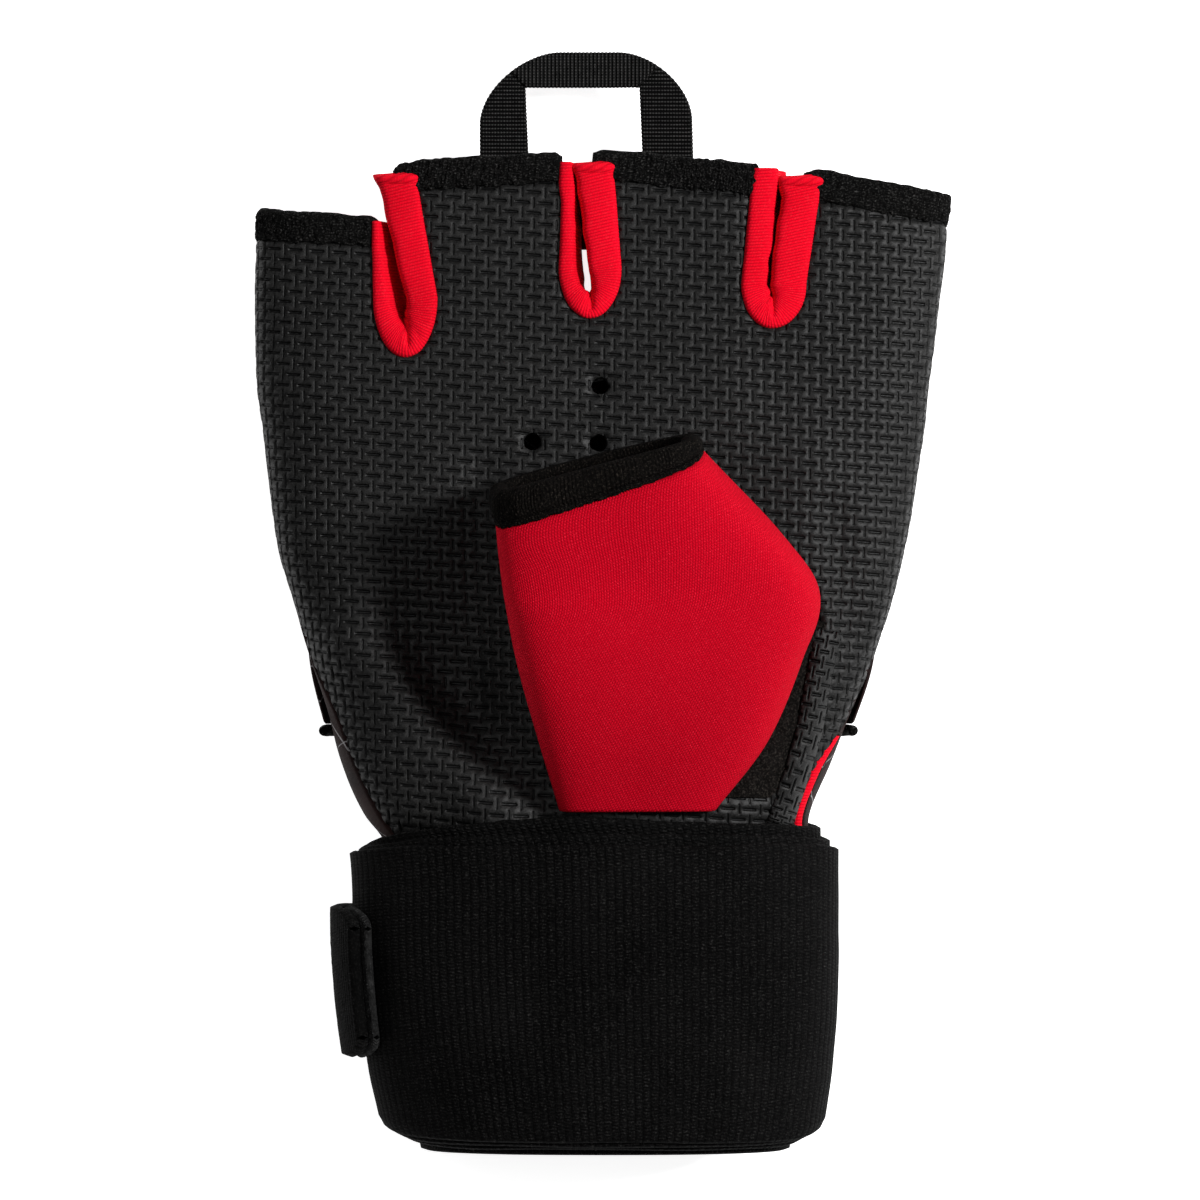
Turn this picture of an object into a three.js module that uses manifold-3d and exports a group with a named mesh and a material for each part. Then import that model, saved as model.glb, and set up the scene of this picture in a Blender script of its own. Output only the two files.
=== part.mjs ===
// Boxing inner glove for a right hand: an open-fingered padded liner with a wound elastic wrist wrap.
// It lies on its knuckle pad with the palm up. Millimetres: +X is the thumb side, +Y points to the
// fingers, +Z is up, and Z = 0 is the surface that the pad and the wrap rest on.

import * as THREE from 'three';
import { mergeVertices } from 'three/addons/utils/BufferGeometryUtils.js';
import Module from 'manifold-3d';

const wasm = await Module();
wasm.setup();

// Cloth thicknesses and the seam gap between neighbouring pieces
const GAP = 0.3;
const SEAT = 0.7;
const PALM_WALL = 2.5;
const BACK_WALL = 1.8;
const THUMB_WALL = 2.0;
const CUFF_WALL = 1.6;
const FOURCHETTE_WALL = 1.2;
const WEBBING = 1.3;

// Lengths along the hand
const PANEL_END = -40.6;
const CUFF_END = -91.6;
const HEM_HEIGHT = 4.2;
const HEM_PROUD = 0.5;
const HEM_ARC = [0.25, 0.75];
const SEAM_CLEAR = 1.6;
const PAD_TOP = 38;
const PAD_BOTTOM = -20.6;
const ABOVE_FINGERS = 78;
const PANEL_BLANK_END = 75;

// Reach of the solids that cut the panels: beyond the glove on every side
const BEYOND_FINGERS = 88;
const BESIDE_HAND = 80;
const CUT_LOW = -20;
const CUT_HIGH = 80;
const THUMB_CUT_LOW = 20;
const CORE_LOW = -60;
const CORE_HIGH = 60;

// Knuckle pad: side thickness, extra thickness at its middle, the rolled hem on its lower edge, and
// its side edges in degrees below level, which end above level at the hem
const PAD_EDGE = 1.3;
const PAD_SWELL = 8.4;
const PAD_ARC = [0.06, 0.94];
const PAD_HEM_RADIUS = 1.25;
const PAD_UNDER = 32;
const PAD_SIDE = 2;
const PAD_CLIMB_FROM = 2;

// Side gusset: its span in degrees round the hand, its upper end, and how far the notch that it lies
// in reaches past it round the hand and in depth
const GUSSET_SPAN = 5;
const GUSSET_TOP = PAD_BOTTOM - 2.4;
const GUSSET_NOTCH_TURN = 1.5;
const GUSSET_NOTCH_DEPTH = 1.2;

// Elastic wrap: where it starts and ends, and how its edges step from each layer to the next
const WRAP_START = -80;
const WRAP_FINISH = 900;
const WRAP_PITCH = 1.5;
const WRAP_BAND = 1.2;
const WRAP_TOP = -36.6;
const WRAP_TOP_STEP = 1.75;
const WRAP_BOTTOM = -91.0;
const WRAP_BOTTOM_STEP = 0.8;
const WRAP_SLUMP = 2.6;
const WRAP_SAG = 1.0;
const PER_TURN = 30;

// Hand body: one row for each cross-section, from the finger ends down to the wrist opening.
// left and right are the edges, palm and back the highest and lowest outer faces, round the
// squareness of the section, and seamLeft and seamRight the side seams in degrees above level.
const HAND = [
  { y: 80, left: -55.6, right: 59.0, palm: 22.0, back: 5.8, round: 3.0, seamLeft: -14, seamRight: -14 },
  { y: 62, left: -57.6, right: 57.5, palm: 24.0, back: 6.4, round: 3.0, seamLeft: -14, seamRight: -14 },
  { y: 50, left: -58.2, right: 56.3, palm: 26.0, back: 7.0, round: 3.0, seamLeft: -14, seamRight: -14 },
  { y: 33, left: -56.9, right: 54.2, palm: 29.0, back: 7.6, round: 2.9, seamLeft: -12, seamRight: -12 },
  { y: 13, left: -54.7, right: 51.1, palm: 31.0, back: 7.8, round: 2.8, seamLeft: -8, seamRight: -10 },
  { y: 0, left: -51.6, right: 48.1, palm: 32.2, back: 7.7, round: 2.7, seamLeft: -2, seamRight: -4 },
  { y: -10, left: -48.6, right: 45.0, palm: 33.2, back: 7.4, round: 2.6, seamLeft: 8, seamRight: 4 },
  { y: -20, left: -45.4, right: 41.0, palm: 34.2, back: 6.9, round: 2.5, seamLeft: 18, seamRight: 11 },
  { y: -28, left: -43.2, right: 37.9, palm: 34.8, back: 6.3, round: 2.5, seamLeft: 22, seamRight: 20 },
  { y: -36, left: -39.6, right: 34.4, palm: 34.4, back: 5.6, round: 2.4, seamLeft: 25, seamRight: 17 },
  { y: -41, left: -36.3, right: 34.2, palm: 32.6, back: 4.9, round: 2.4, seamLeft: 25, seamRight: 15 },
  { y: -60, left: -35.4, right: 34.1, palm: 32.2, back: 4.8, round: 2.4, seamLeft: 25, seamRight: 12 },
  { y: -75, left: -33.8, right: 33.4, palm: 32.0, back: 4.8, round: 2.4, seamLeft: 25, seamRight: 12 },
  { y: -92, left: -30.2, right: 31.2, palm: 31.4, back: 4.8, round: 2.4, seamLeft: 25, seamRight: 12 },
];
const WIDEST_AT = 0.46;

// Millimetres of extra length that one radian of bend counts for when a section is divided
const BEND_WEIGHT = 14;

// Sections whose shape decides how the hand's and the wrist's pieces are divided
const HAND_SECTION = 15;
const WRIST_SECTION = -60;

// Soft relief of the palm: a hollow beside the thumb and a swell at the heel of the hand
const PALM_RELIEF = [
  { x: -25, y: -13, spreadX: 11, spreadY: 19, rise: -4.2 },
  { x: -35, y: -30, spreadX: 9, spreadY: 12, rise: 1.6 },
];

// Slots between the fingers: the crotch, the width of the slot above it, and the slot's upper ends.
// bulge columns say how far the red gusset swells into the slot on each side and at the crotch.
const SLOTS = [
  {
    name: 'pinky_ring', crotchX: -32.6, crotchY: 40.1, shoulderY: 49.6, sideLeft: -37.6, sideRight: -27.7,
    topLeft: -37.7, topLeftY: 62.4, topRight: -31.4, topRightY: 70.4,
    bulgeLeft: 1.6, bulgeRight: 5.0, bulgeCrotch: 4.4,
  },
  {
    name: 'ring_middle', crotchX: -2.1, crotchY: 46.6, shoulderY: 54.6, sideLeft: -6.8, sideRight: 2.8,
    topLeft: -6.2, topLeftY: 72.2, topRight: 1.4, topRightY: 72.2,
    bulgeLeft: 2.2, bulgeRight: 4.6, bulgeCrotch: 4.4,
  },
  {
    name: 'middle_index', crotchX: 27.9, crotchY: 44.9, shoulderY: 52.0, sideLeft: 23.4, sideRight: 33.4,
    topLeft: 25.4, topLeftY: 71.2, topRight: 36.2, topRightY: 70.0,
    bulgeLeft: 3.4, bulgeRight: 4.4, bulgeCrotch: 4.4,
  },
];

// Finger stalls: the ends of each knitted hem, left and right
const FINGERS = [
  { name: 'pinky', leftX: -57.6, leftY: 64.9, rightX: -38.0, rightY: 63.4 },
  { name: 'ring', leftX: -34.2, leftY: 72.4, rightX: -6.9, rightY: 74.2 },
  { name: 'middle', leftX: -1.6, leftY: 74.6, rightX: 26.2, rightY: 72.2 },
  { name: 'index', leftX: 34.6, leftY: 71.4, rightX: 58.2, rightY: 67.4 },
];

// Ventilation holes in the palm
const VENT_RADIUS = 1.4;
const VENT_SIDES = 10;
const VENTS = [
  { x: -0.4, y: 35.1 },
  { x: -11.6, y: 25.8 },
  { x: -0.7, y: 25.6 },
];

// Thumb stall: sections from the wrist end to the opening. Each has its left and right edge in plan,
// their heights, the heights of its top and its underside, which dips into the hand at its root, and
// how far its top and its underside lean back per millimetre from the height of its edges.
const THUMB = [
  { at: 0.0, leftX: -7.1, leftY: -35.0, rightX: 18.6, rightY: -35.0,
    leftZ: 33.6, rightZ: 31.6, top: 37.8, under: 28.0, leanTop: 0, leanUnder: 0 },
  { at: 0.25, leftX: -10.4, leftY: -23.7, rightX: 27.2, rightY: -23.7,
    leftZ: 36.6, rightZ: 31.0, top: 43.6, under: 27.0, leanTop: -0.03, leanUnder: -0.01 },
  { at: 0.5, leftX: -13.9, leftY: -10.4, rightX: 32.9, rightY: -10.4,
    leftZ: 39.0, rightZ: 30.2, top: 48.2, under: 26.5, leanTop: -0.1, leanUnder: -0.03 },
  { at: 0.7, leftX: -15.9, leftY: 0.6, rightX: 36.8, rightY: -0.4,
    leftZ: 40.5, rightZ: 31.0, top: 50.0, under: 29.0, leanTop: -0.2, leanUnder: -0.06 },
  { at: 0.83, leftX: -16.8, leftY: 7.0, rightX: 28.8, rightY: 11.0,
    leftZ: 41.2, rightZ: 37.0, top: 50.6, under: 33.0, leanTop: -0.3, leanUnder: -0.1 },
  { at: 0.92, leftX: -17.3, leftY: 12.4, rightX: 17.4, rightY: 23.0,
    leftZ: 41.8, rightZ: 40.2, top: 51.0, under: 33.8, leanTop: -0.36, leanUnder: -0.12 },
  { at: 1.0, leftX: -17.6, leftY: 18.4, rightX: 14.4, rightY: 26.6,
    leftZ: 42.0, rightZ: 41.0, top: 51.0, under: 34.2, leanTop: -0.04, leanUnder: -0.12 },
];
const THUMB_CREST = 0.45;
const THUMB_SIDES = 22;
const BINDING_SHARE = 0.08;
const BINDING_GAP_SHARE = 0.008;
const BINDING_WALL = 2.6;
const BINDING_PROUD = 0.4;

// Palm opening under the thumb, and the turned palm edge beside it
const THUMB_HOLE = [
  { x: -1, y: -31 },
  { x: -3, y: -14 },
  { x: 3, y: -4 },
  { x: 18, y: -0.2 },
  { x: 35, y: -0.4 },
  { x: 36.4, y: -4 },
  { x: 33.4, y: -17 },
  { x: 30.6, y: -27 },
  { x: 27.2, y: -33 },
  { x: 4, y: -33 },
];
const PALM_EDGE = [
  { x: 37.3, y: -5.5 },
  { x: 35.6, y: -14 },
  { x: 33.9, y: -23 },
  { x: 30.3, y: -34.6 },
];
const PALM_EDGE_WIDTH = 3.2;
const PALM_EDGE_SIDE = 0.35;
const PALM_EDGE_RISE = 1.9;

// Smooth strip at the root of the thumb: its left edge runs under the thumb stall
const THUMB_ROOT = [
  { x: 30.0, y: -2.6 },
  { x: 29.0, y: -12.0 },
  { x: 24.0, y: -23.0 },
  { x: 14.0, y: -32.6 },
];
const ROOT_INSET = 0.2;
const ROOT_WALL = 1.8;

// Pull loop: outer arch and inner corners of the webbing, and the feet inside the finger stalls
const LOOP = {
  outerLeft: -20.6, outerRight: 15.6, shoulderY: 80, crownLeft: -7.1, crownRight: 2.6, crownY: 91.6,
  innerLeft: -12.4, innerRight: 6.7, innerY: 85.6, footY: 63, height: 8.8, lean: 0.5,
};

// Closure: the hooked tab that holds the end of the wrap at the little-finger side
const TAB = {
  from: 155, hookFrom: 153, to: 222, top: -51.7, bottom: -76.6, hook: 1.2, strap: 2.0,
  corner: 3.2, cornerShare: 0.2,
};

const COLOURS = {
  rubber: 0x232324, knit: 0x161617, red: 0xd80d1c, jersey: 0xc00a1e, print: 0x2d1a1a,
  elastic: 0x141414, smooth: 0x1c1614,
};
const ROUGHNESS = 0.9;

const radians = THREE.MathUtils.degToRad;
const mix = THREE.MathUtils.lerp;
const clamp = THREE.MathUtils.clamp;
const hump = (t) => Math.sin(Math.PI * clamp(t, 0, 1));

// Smooth curve through one column of a table whose rows are sorted by the key column
function columnAt(rows, key, column, where) {
  const rising = rows[rows.length - 1][key] > rows[0][key];
  const sorted = rising ? rows : [...rows].reverse();
  let i = sorted.findIndex((row) => row[key] > where) - 1;
  if (i === -2) i = sorted.length - 2;
  i = clamp(i, 0, sorted.length - 2);
  const slope = (k) => {
    const a = sorted[Math.max(k - 1, 0)];
    const b = sorted[Math.min(k + 1, sorted.length - 1)];
    return (b[column] - a[column]) / (b[key] - a[key]);
  };
  const a = sorted[i];
  const b = sorted[i + 1];
  const span = b[key] - a[key];
  const t = clamp((where - a[key]) / span, 0, 1);
  const t2 = t * t;
  const t3 = t2 * t;
  return (2 * t3 - 3 * t2 + 1) * a[column] + (t3 - 2 * t2 + t) * span * slope(i)
    + (3 * t2 - 2 * t3) * b[column] + (t3 - t2) * span * slope(i + 1);
}

const handAt = (y, column) => columnAt(HAND, 'y', column, y);

// Rise of the palm relief at one place
function palmRelief(x, y) {
  let rise = 0;
  for (const swell of PALM_RELIEF) {
    const dx = (x - swell.x) / swell.spreadX;
    const dy = (y - swell.y) / swell.spreadY;
    rise += swell.rise * Math.exp(-dx * dx - dy * dy);
  }
  return rise;
}

// Point of the hand's cross-section at an angle from the thumb side, inset from the outer face
function handPoint(y, angle, inset) {
  const left = handAt(y, 'left') + inset;
  const right = handAt(y, 'right') - inset;
  const palm = handAt(y, 'palm');
  const back = handAt(y, 'back');
  const level = mix(back, palm, WIDEST_AT);
  const power = 2 / handAt(y, 'round');
  const across = Math.sign(Math.cos(angle)) * Math.abs(Math.cos(angle)) ** power;
  const up = Math.abs(Math.sin(angle)) ** power;
  const x = (left + right) / 2 + ((right - left) / 2) * across;
  if (Math.sin(angle) < 0) return [x, y, level - (level - back - inset) * up];
  return [x, y, level + (palm - level - inset + palmRelief(x, y)) * up];
}

// Height of the palm side (side 1) or of the back (side -1) of the hand at a place in plan
function handHeight(x, y, inset, side) {
  const left = handAt(y, 'left') + inset;
  const right = handAt(y, 'right') - inset;
  const palm = handAt(y, 'palm');
  const back = handAt(y, 'back');
  const level = mix(back, palm, WIDEST_AT);
  const round = handAt(y, 'round');
  const across = clamp(Math.abs(x - (left + right) / 2) / ((right - left) / 2), 0, 1);
  const up = (1 - across ** round) ** (1 / round);
  if (side < 0) return level - (level - back - inset) * up;
  return level + (palm - level - inset + palmRelief(x, y)) * up;
}

const turnBetween = (a, b) => Math.abs(Math.atan2(Math.sin(b - a), Math.cos(b - a)));

// Shares of an angle range that divide the section at y evenly, closer where the section bends
function spread(y, from, to, count) {
  const fine = 400;
  const lengths = [0];
  let last = handPoint(y, from, 0);
  let heading = null;
  for (let i = 1; i <= fine; i++) {
    const next = handPoint(y, mix(from, to, i / fine), 0);
    const dx = next[0] - last[0];
    const dz = next[2] - last[2];
    const bearing = Math.atan2(dz, dx);
    const turn = heading === null ? 0 : turnBetween(heading, bearing);
    lengths.push(lengths[i - 1] + Math.hypot(dx, dz) + BEND_WEIGHT * turn);
    last = next;
    heading = bearing;
  }
  const shares = [];
  for (let k = 0; k <= count; k++) {
    const target = (lengths[fine] * k) / count;
    const i = clamp(lengths.findIndex((length) => length >= target - 1e-9), 1, fine);
    const within = (target - lengths[i - 1]) / (lengths[i] - lengths[i - 1]);
    shares.push((i - 1 + clamp(within, 0, 1)) / fine);
  }
  return shares;
}

function signedVolume(points, faces) {
  let volume = 0;
  for (const [a, b, c] of faces) {
    const [p, q, r] = [a, b, c].map((k) => new THREE.Vector3(...points[k]));
    volume += p.dot(q.cross(r)) / 6;
  }
  return volume;
}

// Closed geometry whose faces point out
function closedGeometry(points, faces) {
  const outward = signedVolume(points, faces) > 0;
  const index = faces.flatMap(([a, b, c]) => (outward ? [a, b, c] : [a, c, b]));
  const geometry = new THREE.BufferGeometry();
  geometry.setAttribute('position', new THREE.Float32BufferAttribute(points.flat(), 3));
  geometry.setIndex(index);
  return geometry;
}

// Sheet of real thickness on a grid: place(row, column, side) gives both faces.
// A looped sheet closes on itself across its columns, as a sleeve does.
function sheet(rows, columns, place, looped = false) {
  const across = looped ? columns : columns + 1;
  const points = [];
  for (const side of [0, 1]) {
    for (let r = 0; r <= rows; r++) {
      for (let c = 0; c < across; c++) points.push(place(r, c, side));
    }
  }
  const layer = (rows + 1) * across;
  const id = (side, r, c) => side * layer + r * across + (c % across);
  const faces = [];
  const quad = (a, b, c, d) => faces.push([a, b, c], [a, c, d]);
  for (let r = 0; r < rows; r++) {
    for (let c = 0; c < columns; c++) {
      quad(id(0, r, c), id(0, r, c + 1), id(0, r + 1, c + 1), id(0, r + 1, c));
      quad(id(1, r, c), id(1, r + 1, c), id(1, r + 1, c + 1), id(1, r, c + 1));
    }
  }
  for (let c = 0; c < columns; c++) {
    quad(id(0, 0, c), id(1, 0, c), id(1, 0, c + 1), id(0, 0, c + 1));
    quad(id(0, rows, c), id(0, rows, c + 1), id(1, rows, c + 1), id(1, rows, c));
  }
  if (!looped) {
    for (let r = 0; r < rows; r++) {
      quad(id(0, r, 0), id(0, r + 1, 0), id(1, r + 1, 0), id(1, r, 0));
      quad(id(0, r, columns), id(1, r, columns), id(1, r + 1, columns), id(0, r + 1, columns));
    }
  }
  return closedGeometry(points, faces);
}

// Solid through closed rings: place(row, column) gives the skin, and both ends are capped
function loft(rows, columns, place) {
  const points = [];
  for (let r = 0; r <= rows; r++) {
    for (let c = 0; c < columns; c++) points.push(place(r, c));
  }
  const id = (r, c) => r * columns + (c % columns);
  const faces = [];
  for (let r = 0; r < rows; r++) {
    for (let c = 0; c < columns; c++) {
      faces.push([id(r, c), id(r, c + 1), id(r + 1, c + 1)], [id(r, c), id(r + 1, c + 1), id(r + 1, c)]);
    }
  }
  for (const [r, turned] of [[0, true], [rows, false]]) {
    const ring = points.slice(r * columns, (r + 1) * columns);
    points.push([0, 1, 2].map((k) => ring.reduce((sum, point) => sum + point[k], 0) / columns));
    for (let c = 0; c < columns; c++) {
      const pair = turned ? [id(r, c + 1), id(r, c)] : [id(r, c), id(r, c + 1)];
      faces.push([...pair, points.length - 1]);
    }
  }
  return closedGeometry(points, faces);
}

function toSolid(geometry) {
  const plain = geometry.clone();
  plain.deleteAttribute('normal');
  plain.deleteAttribute('uv');
  const merged = mergeVertices(plain, 1e-4);
  return new wasm.Manifold(new wasm.Mesh({
    numProp: 3,
    vertProperties: new Float32Array(merged.attributes.position.array),
    triVerts: new Uint32Array(merged.index.array),
  }));
}

function toGeometry(solid) {
  const mesh = solid.getMesh();
  const geometry = new THREE.BufferGeometry();
  geometry.setAttribute('position', new THREE.BufferAttribute(new Float32Array(mesh.vertProperties), 3));
  geometry.setIndex(new THREE.BufferAttribute(new Uint32Array(mesh.triVerts), 1));
  return geometry;
}

// Upright prism over a plan outline, from a height to above the whole glove
function prism(places, low) {
  const outline = new THREE.Shape(places.map((place) => new THREE.Vector2(place.x, place.y)));
  const geometry = new THREE.ExtrudeGeometry(outline, { depth: CUT_HIGH - low, bevelEnabled: false });
  geometry.translate(0, 0, low);
  return toSolid(geometry);
}

const glove = new THREE.Group();
function add(name, geometry, colour) {
  geometry.computeVertexNormals();
  const finish = new THREE.MeshStandardMaterial({ color: colour, roughness: ROUGHNESS, metalness: 0 });
  const mesh = new THREE.Mesh(geometry, finish);
  mesh.name = name;
  glove.add(mesh);
}

// Plan outline of a slot between two fingers, open at its upper end
function slotOutline(slot) {
  const steps = 10;
  const places = [
    { x: slot.topLeft, y: ABOVE_FINGERS },
    { x: slot.topLeft, y: slot.topLeftY },
    { x: slot.sideLeft, y: slot.shoulderY },
  ];
  for (let i = 1; i < steps; i++) {
    const turn = Math.PI + (Math.PI * i) / steps;
    const reach = Math.cos(turn) < 0 ? slot.crotchX - slot.sideLeft : slot.sideRight - slot.crotchX;
    const deep = slot.shoulderY - slot.crotchY;
    places.push({ x: slot.crotchX + reach * Math.cos(turn), y: slot.shoulderY + deep * Math.sin(turn) });
  }
  places.push({ x: slot.sideRight, y: slot.shoulderY });
  places.push({ x: slot.topRight, y: slot.topRightY });
  places.push({ x: slot.topRight, y: ABOVE_FINGERS });
  return places;
}

// Plan outline of everything above the seams of the finger hems
function aboveHems() {
  const drop = HEM_HEIGHT + 2 * GAP;
  const first = FINGERS[0];
  const last = FINGERS[FINGERS.length - 1];
  const places = [{ x: -BESIDE_HAND, y: BEYOND_FINGERS }, { x: -BESIDE_HAND, y: first.leftY - drop }];
  for (const finger of FINGERS) {
    places.push({ x: finger.leftX - GAP, y: finger.leftY - drop });
    places.push({ x: finger.rightX + GAP, y: finger.rightY - drop });
  }
  places.push({ x: BESIDE_HAND, y: last.rightY - drop }, { x: BESIDE_HAND, y: BEYOND_FINGERS });
  return places;
}

const fingerCutter = [aboveHems(), ...SLOTS.map(slotOutline)]
  .map((outline) => prism(outline, CUT_LOW))
  .reduce((all, cutter) => all.add(cutter));

// Places that divide a stretch of the hand evenly
function stations(from, to, count) {
  return Array.from({ length: count + 1 }, (unused, i) => mix(from, to, i / count));
}

function palmPanel() {
  const rows = 20;
  const ys = stations(PANEL_END, PANEL_BLANK_END, rows);
  const columns = 24;
  const shares = spread(HAND_SECTION, radians(-10), radians(190), columns);
  const blank = sheet(rows, columns, (r, c, side) => {
    const y = ys[r];
    const from = radians(handAt(y, 'seamRight'));
    const to = Math.PI - radians(handAt(y, 'seamLeft'));
    return handPoint(y, mix(from, to, shares[c]), side * PALM_WALL);
  });
  let solid = toSolid(blank).subtract(fingerCutter).subtract(prism(THUMB_HOLE, THUMB_CUT_LOW));
  for (const vent of VENTS) {
    const drill = new THREE.CylinderGeometry(VENT_RADIUS, VENT_RADIUS, CUT_HIGH - THUMB_CUT_LOW, VENT_SIDES);
    drill.rotateX(Math.PI / 2);
    drill.translate(vent.x, vent.y, (CUT_HIGH + THUMB_CUT_LOW) / 2);
    solid = solid.subtract(toSolid(drill));
  }
  return toGeometry(solid);
}

function backPanel() {
  const rows = 16;
  const ys = stations(PANEL_END, PANEL_BLANK_END, rows);
  const columns = 20;
  const shares = spread(HAND_SECTION, radians(192), radians(348), columns);
  const blank = sheet(rows, columns, (r, c, side) => {
    const y = ys[r];
    const from = Math.PI - radians(handAt(y, 'seamLeft') - SEAM_CLEAR);
    const to = 2 * Math.PI + radians(handAt(y, 'seamRight') - SEAM_CLEAR);
    return handPoint(y, mix(from, to, shares[c]), side * BACK_WALL);
  });
  return toGeometry(toSolid(blank).subtract(fingerCutter).subtract(toSolid(sideGusset(true))));
}

// Red gusset on the thumb side, between the palm and the back below the knuckle pad.
// Its notch in the back panel is larger all round.
function sideGusset(isNotch) {
  const steps = 5;
  const columns = 4;
  const grow = isNotch ? GAP : 0;
  const ys = stations(PANEL_END - grow, GUSSET_TOP + grow, steps);
  return sheet(steps, columns, (r, c, side) => {
    const y = ys[r];
    const top = handAt(y, 'seamRight') - SEAM_CLEAR;
    const wider = isNotch ? GUSSET_NOTCH_TURN : 0;
    const deeper = isNotch ? GUSSET_NOTCH_DEPTH : 0;
    const angle = mix(top + wider, top - GUSSET_SPAN - wider, c / columns);
    return handPoint(y, radians(angle), side === 0 ? -deeper : BACK_WALL + deeper);
  });
}

// Thickness of the knuckle pad: thin at its edges and swollen in the middle
function knuckleThickness(along, across) {
  return PAD_EDGE + PAD_SWELL * Math.sqrt(hump(mix(...PAD_ARC, along))) * hump(across) ** 0.7;
}

// Angles of the pad's side edges, which climb to the sides of the hand towards the lower hem
function padEdges(y) {
  const climb = clamp((PAD_CLIMB_FROM - y) / (PAD_CLIMB_FROM - PAD_BOTTOM), 0, 1);
  const under = radians(mix(PAD_UNDER, -PAD_SIDE, climb));
  return { from: Math.PI + under, to: 2 * Math.PI - under };
}

// Padded back over the knuckles, flat where it rests
function knucklePad() {
  const rows = 14;
  const columns = 18;
  const shares = spread(HAND_SECTION, radians(205), radians(335), columns);
  return sheet(rows, columns, (r, c, side) => {
    const y = mix(PAD_BOTTOM, PAD_TOP, r / rows);
    const edges = padEdges(y);
    const angle = mix(edges.from, edges.to, shares[c]);
    if (side === 1) return handPoint(y, angle, -SEAT);
    const point = handPoint(y, angle, -SEAT - knuckleThickness(r / rows, c / columns));
    const edge = handPoint(y, angle, -SEAT - PAD_EDGE);
    return [edge[0], y, Math.max(0, point[2])];
  });
}

// Rolled hem along the lower edge of the pad
function padHem() {
  const steps = 24;
  const sides = 6;
  const y = PAD_BOTTOM - PAD_HEM_RADIUS - GAP;
  const edges = padEdges(y);
  const shares = spread(y, edges.from, edges.to, steps);
  return loft(steps, sides, (r, c) => {
    const turn = (2 * Math.PI * c) / sides;
    const angle = mix(edges.from, edges.to, shares[r]);
    const inset = -SEAT - PAD_HEM_RADIUS * (1 + Math.cos(turn));
    const point = handPoint(y, angle, inset);
    return [point[0], y + PAD_HEM_RADIUS * Math.sin(turn), point[2]];
  });
}

// Red gusset that lines one slot: it runs down one finger, round the crotch and up the next,
// from the palm to the back, and swells into the slot
function fourchette(slot) {
  const legSteps = 4;
  const turnSteps = 8;
  const path = [];
  const step = (x, y, inX, inY, bulge) => path.push({ x, y, inX, inY, bulge });
  for (let i = 0; i < legSteps; i++) {
    const t = i / legSteps;
    step(mix(slot.topLeft, slot.sideLeft, t), mix(slot.topLeftY, slot.shoulderY, t), 1, 0, slot.bulgeLeft);
  }
  for (let i = 0; i <= turnSteps; i++) {
    const turn = Math.PI + (Math.PI * i) / turnSteps;
    const reach = Math.cos(turn) < 0 ? slot.crotchX - slot.sideLeft : slot.sideRight - slot.crotchX;
    const side = Math.cos(turn) < 0 ? slot.bulgeLeft : slot.bulgeRight;
    const bulge = mix(side, slot.bulgeCrotch, Math.abs(Math.sin(turn)));
    step(
      slot.crotchX + reach * Math.cos(turn),
      slot.shoulderY + (slot.shoulderY - slot.crotchY) * Math.sin(turn),
      -Math.cos(turn), -Math.sin(turn), bulge,
    );
  }
  for (let i = 1; i <= legSteps; i++) {
    const t = i / legSteps;
    const x = mix(slot.sideRight, slot.topRight, t);
    step(x, mix(slot.shoulderY, slot.topRightY, t), -1, 0, slot.bulgeRight);
  }
  const columns = 4;
  return sheet(path.length - 1, columns, (r, c, side) => {
    const at = path[r];
    const swell = at.bulge * hump(c / columns) - side * FOURCHETTE_WALL;
    const x = at.x + at.inX * swell;
    const y = at.y + at.inY * swell;
    const high = handHeight(x, y, PALM_WALL + GAP, 1);
    const low = handHeight(x, y, BACK_WALL + GAP, -1);
    return [x, y, mix(high, low, c / columns)];
  });
}

// Angle of the section at a place in plan, on the palm side (1) or the back (-1)
function angleAt(x, y, facing) {
  const left = handAt(y, 'left');
  const right = handAt(y, 'right');
  const across = clamp((x - (left + right) / 2) / ((right - left) / 2), -1, 1);
  const cosine = Math.sign(across) * Math.abs(across) ** (handAt(y, 'round') / 2);
  return facing * Math.acos(cosine);
}

// Knitted hem on the end of a finger stall, on the palm side (1) or the back (-1).
// The outer fingers' hems run on round the side to the seam.
function fingerHem(finger, facing) {
  const rows = 2;
  const columns = 8;
  const wall = facing > 0 ? PALM_WALL : BACK_WALL;
  const at = mix(finger.leftY, finger.rightY, 0.5);
  const seam = radians(handAt(at, 'seamLeft') - (facing > 0 ? 0 : SEAM_CLEAR));
  let from = angleAt(finger.leftX, at, facing);
  let to = angleAt(finger.rightX, at, facing);
  if (finger === FINGERS[0]) from = facing > 0 ? Math.PI - seam : -Math.PI - seam;
  if (finger === FINGERS[3]) to = seam;
  return sheet(rows, columns, (r, c, side) => {
    const inset = side === 0 ? -HEM_PROUD * hump(mix(...HEM_ARC, r / rows)) : wall;
    const angle = mix(from, to, c / columns);
    const share = (handPoint(at, angle, 0)[0] - finger.leftX) / (finger.rightX - finger.leftX);
    const top = mix(finger.leftY, finger.rightY, clamp(share, 0, 1));
    return handPoint(top - HEM_HEIGHT * (1 - r / rows), angle, inset);
  });
}

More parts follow.
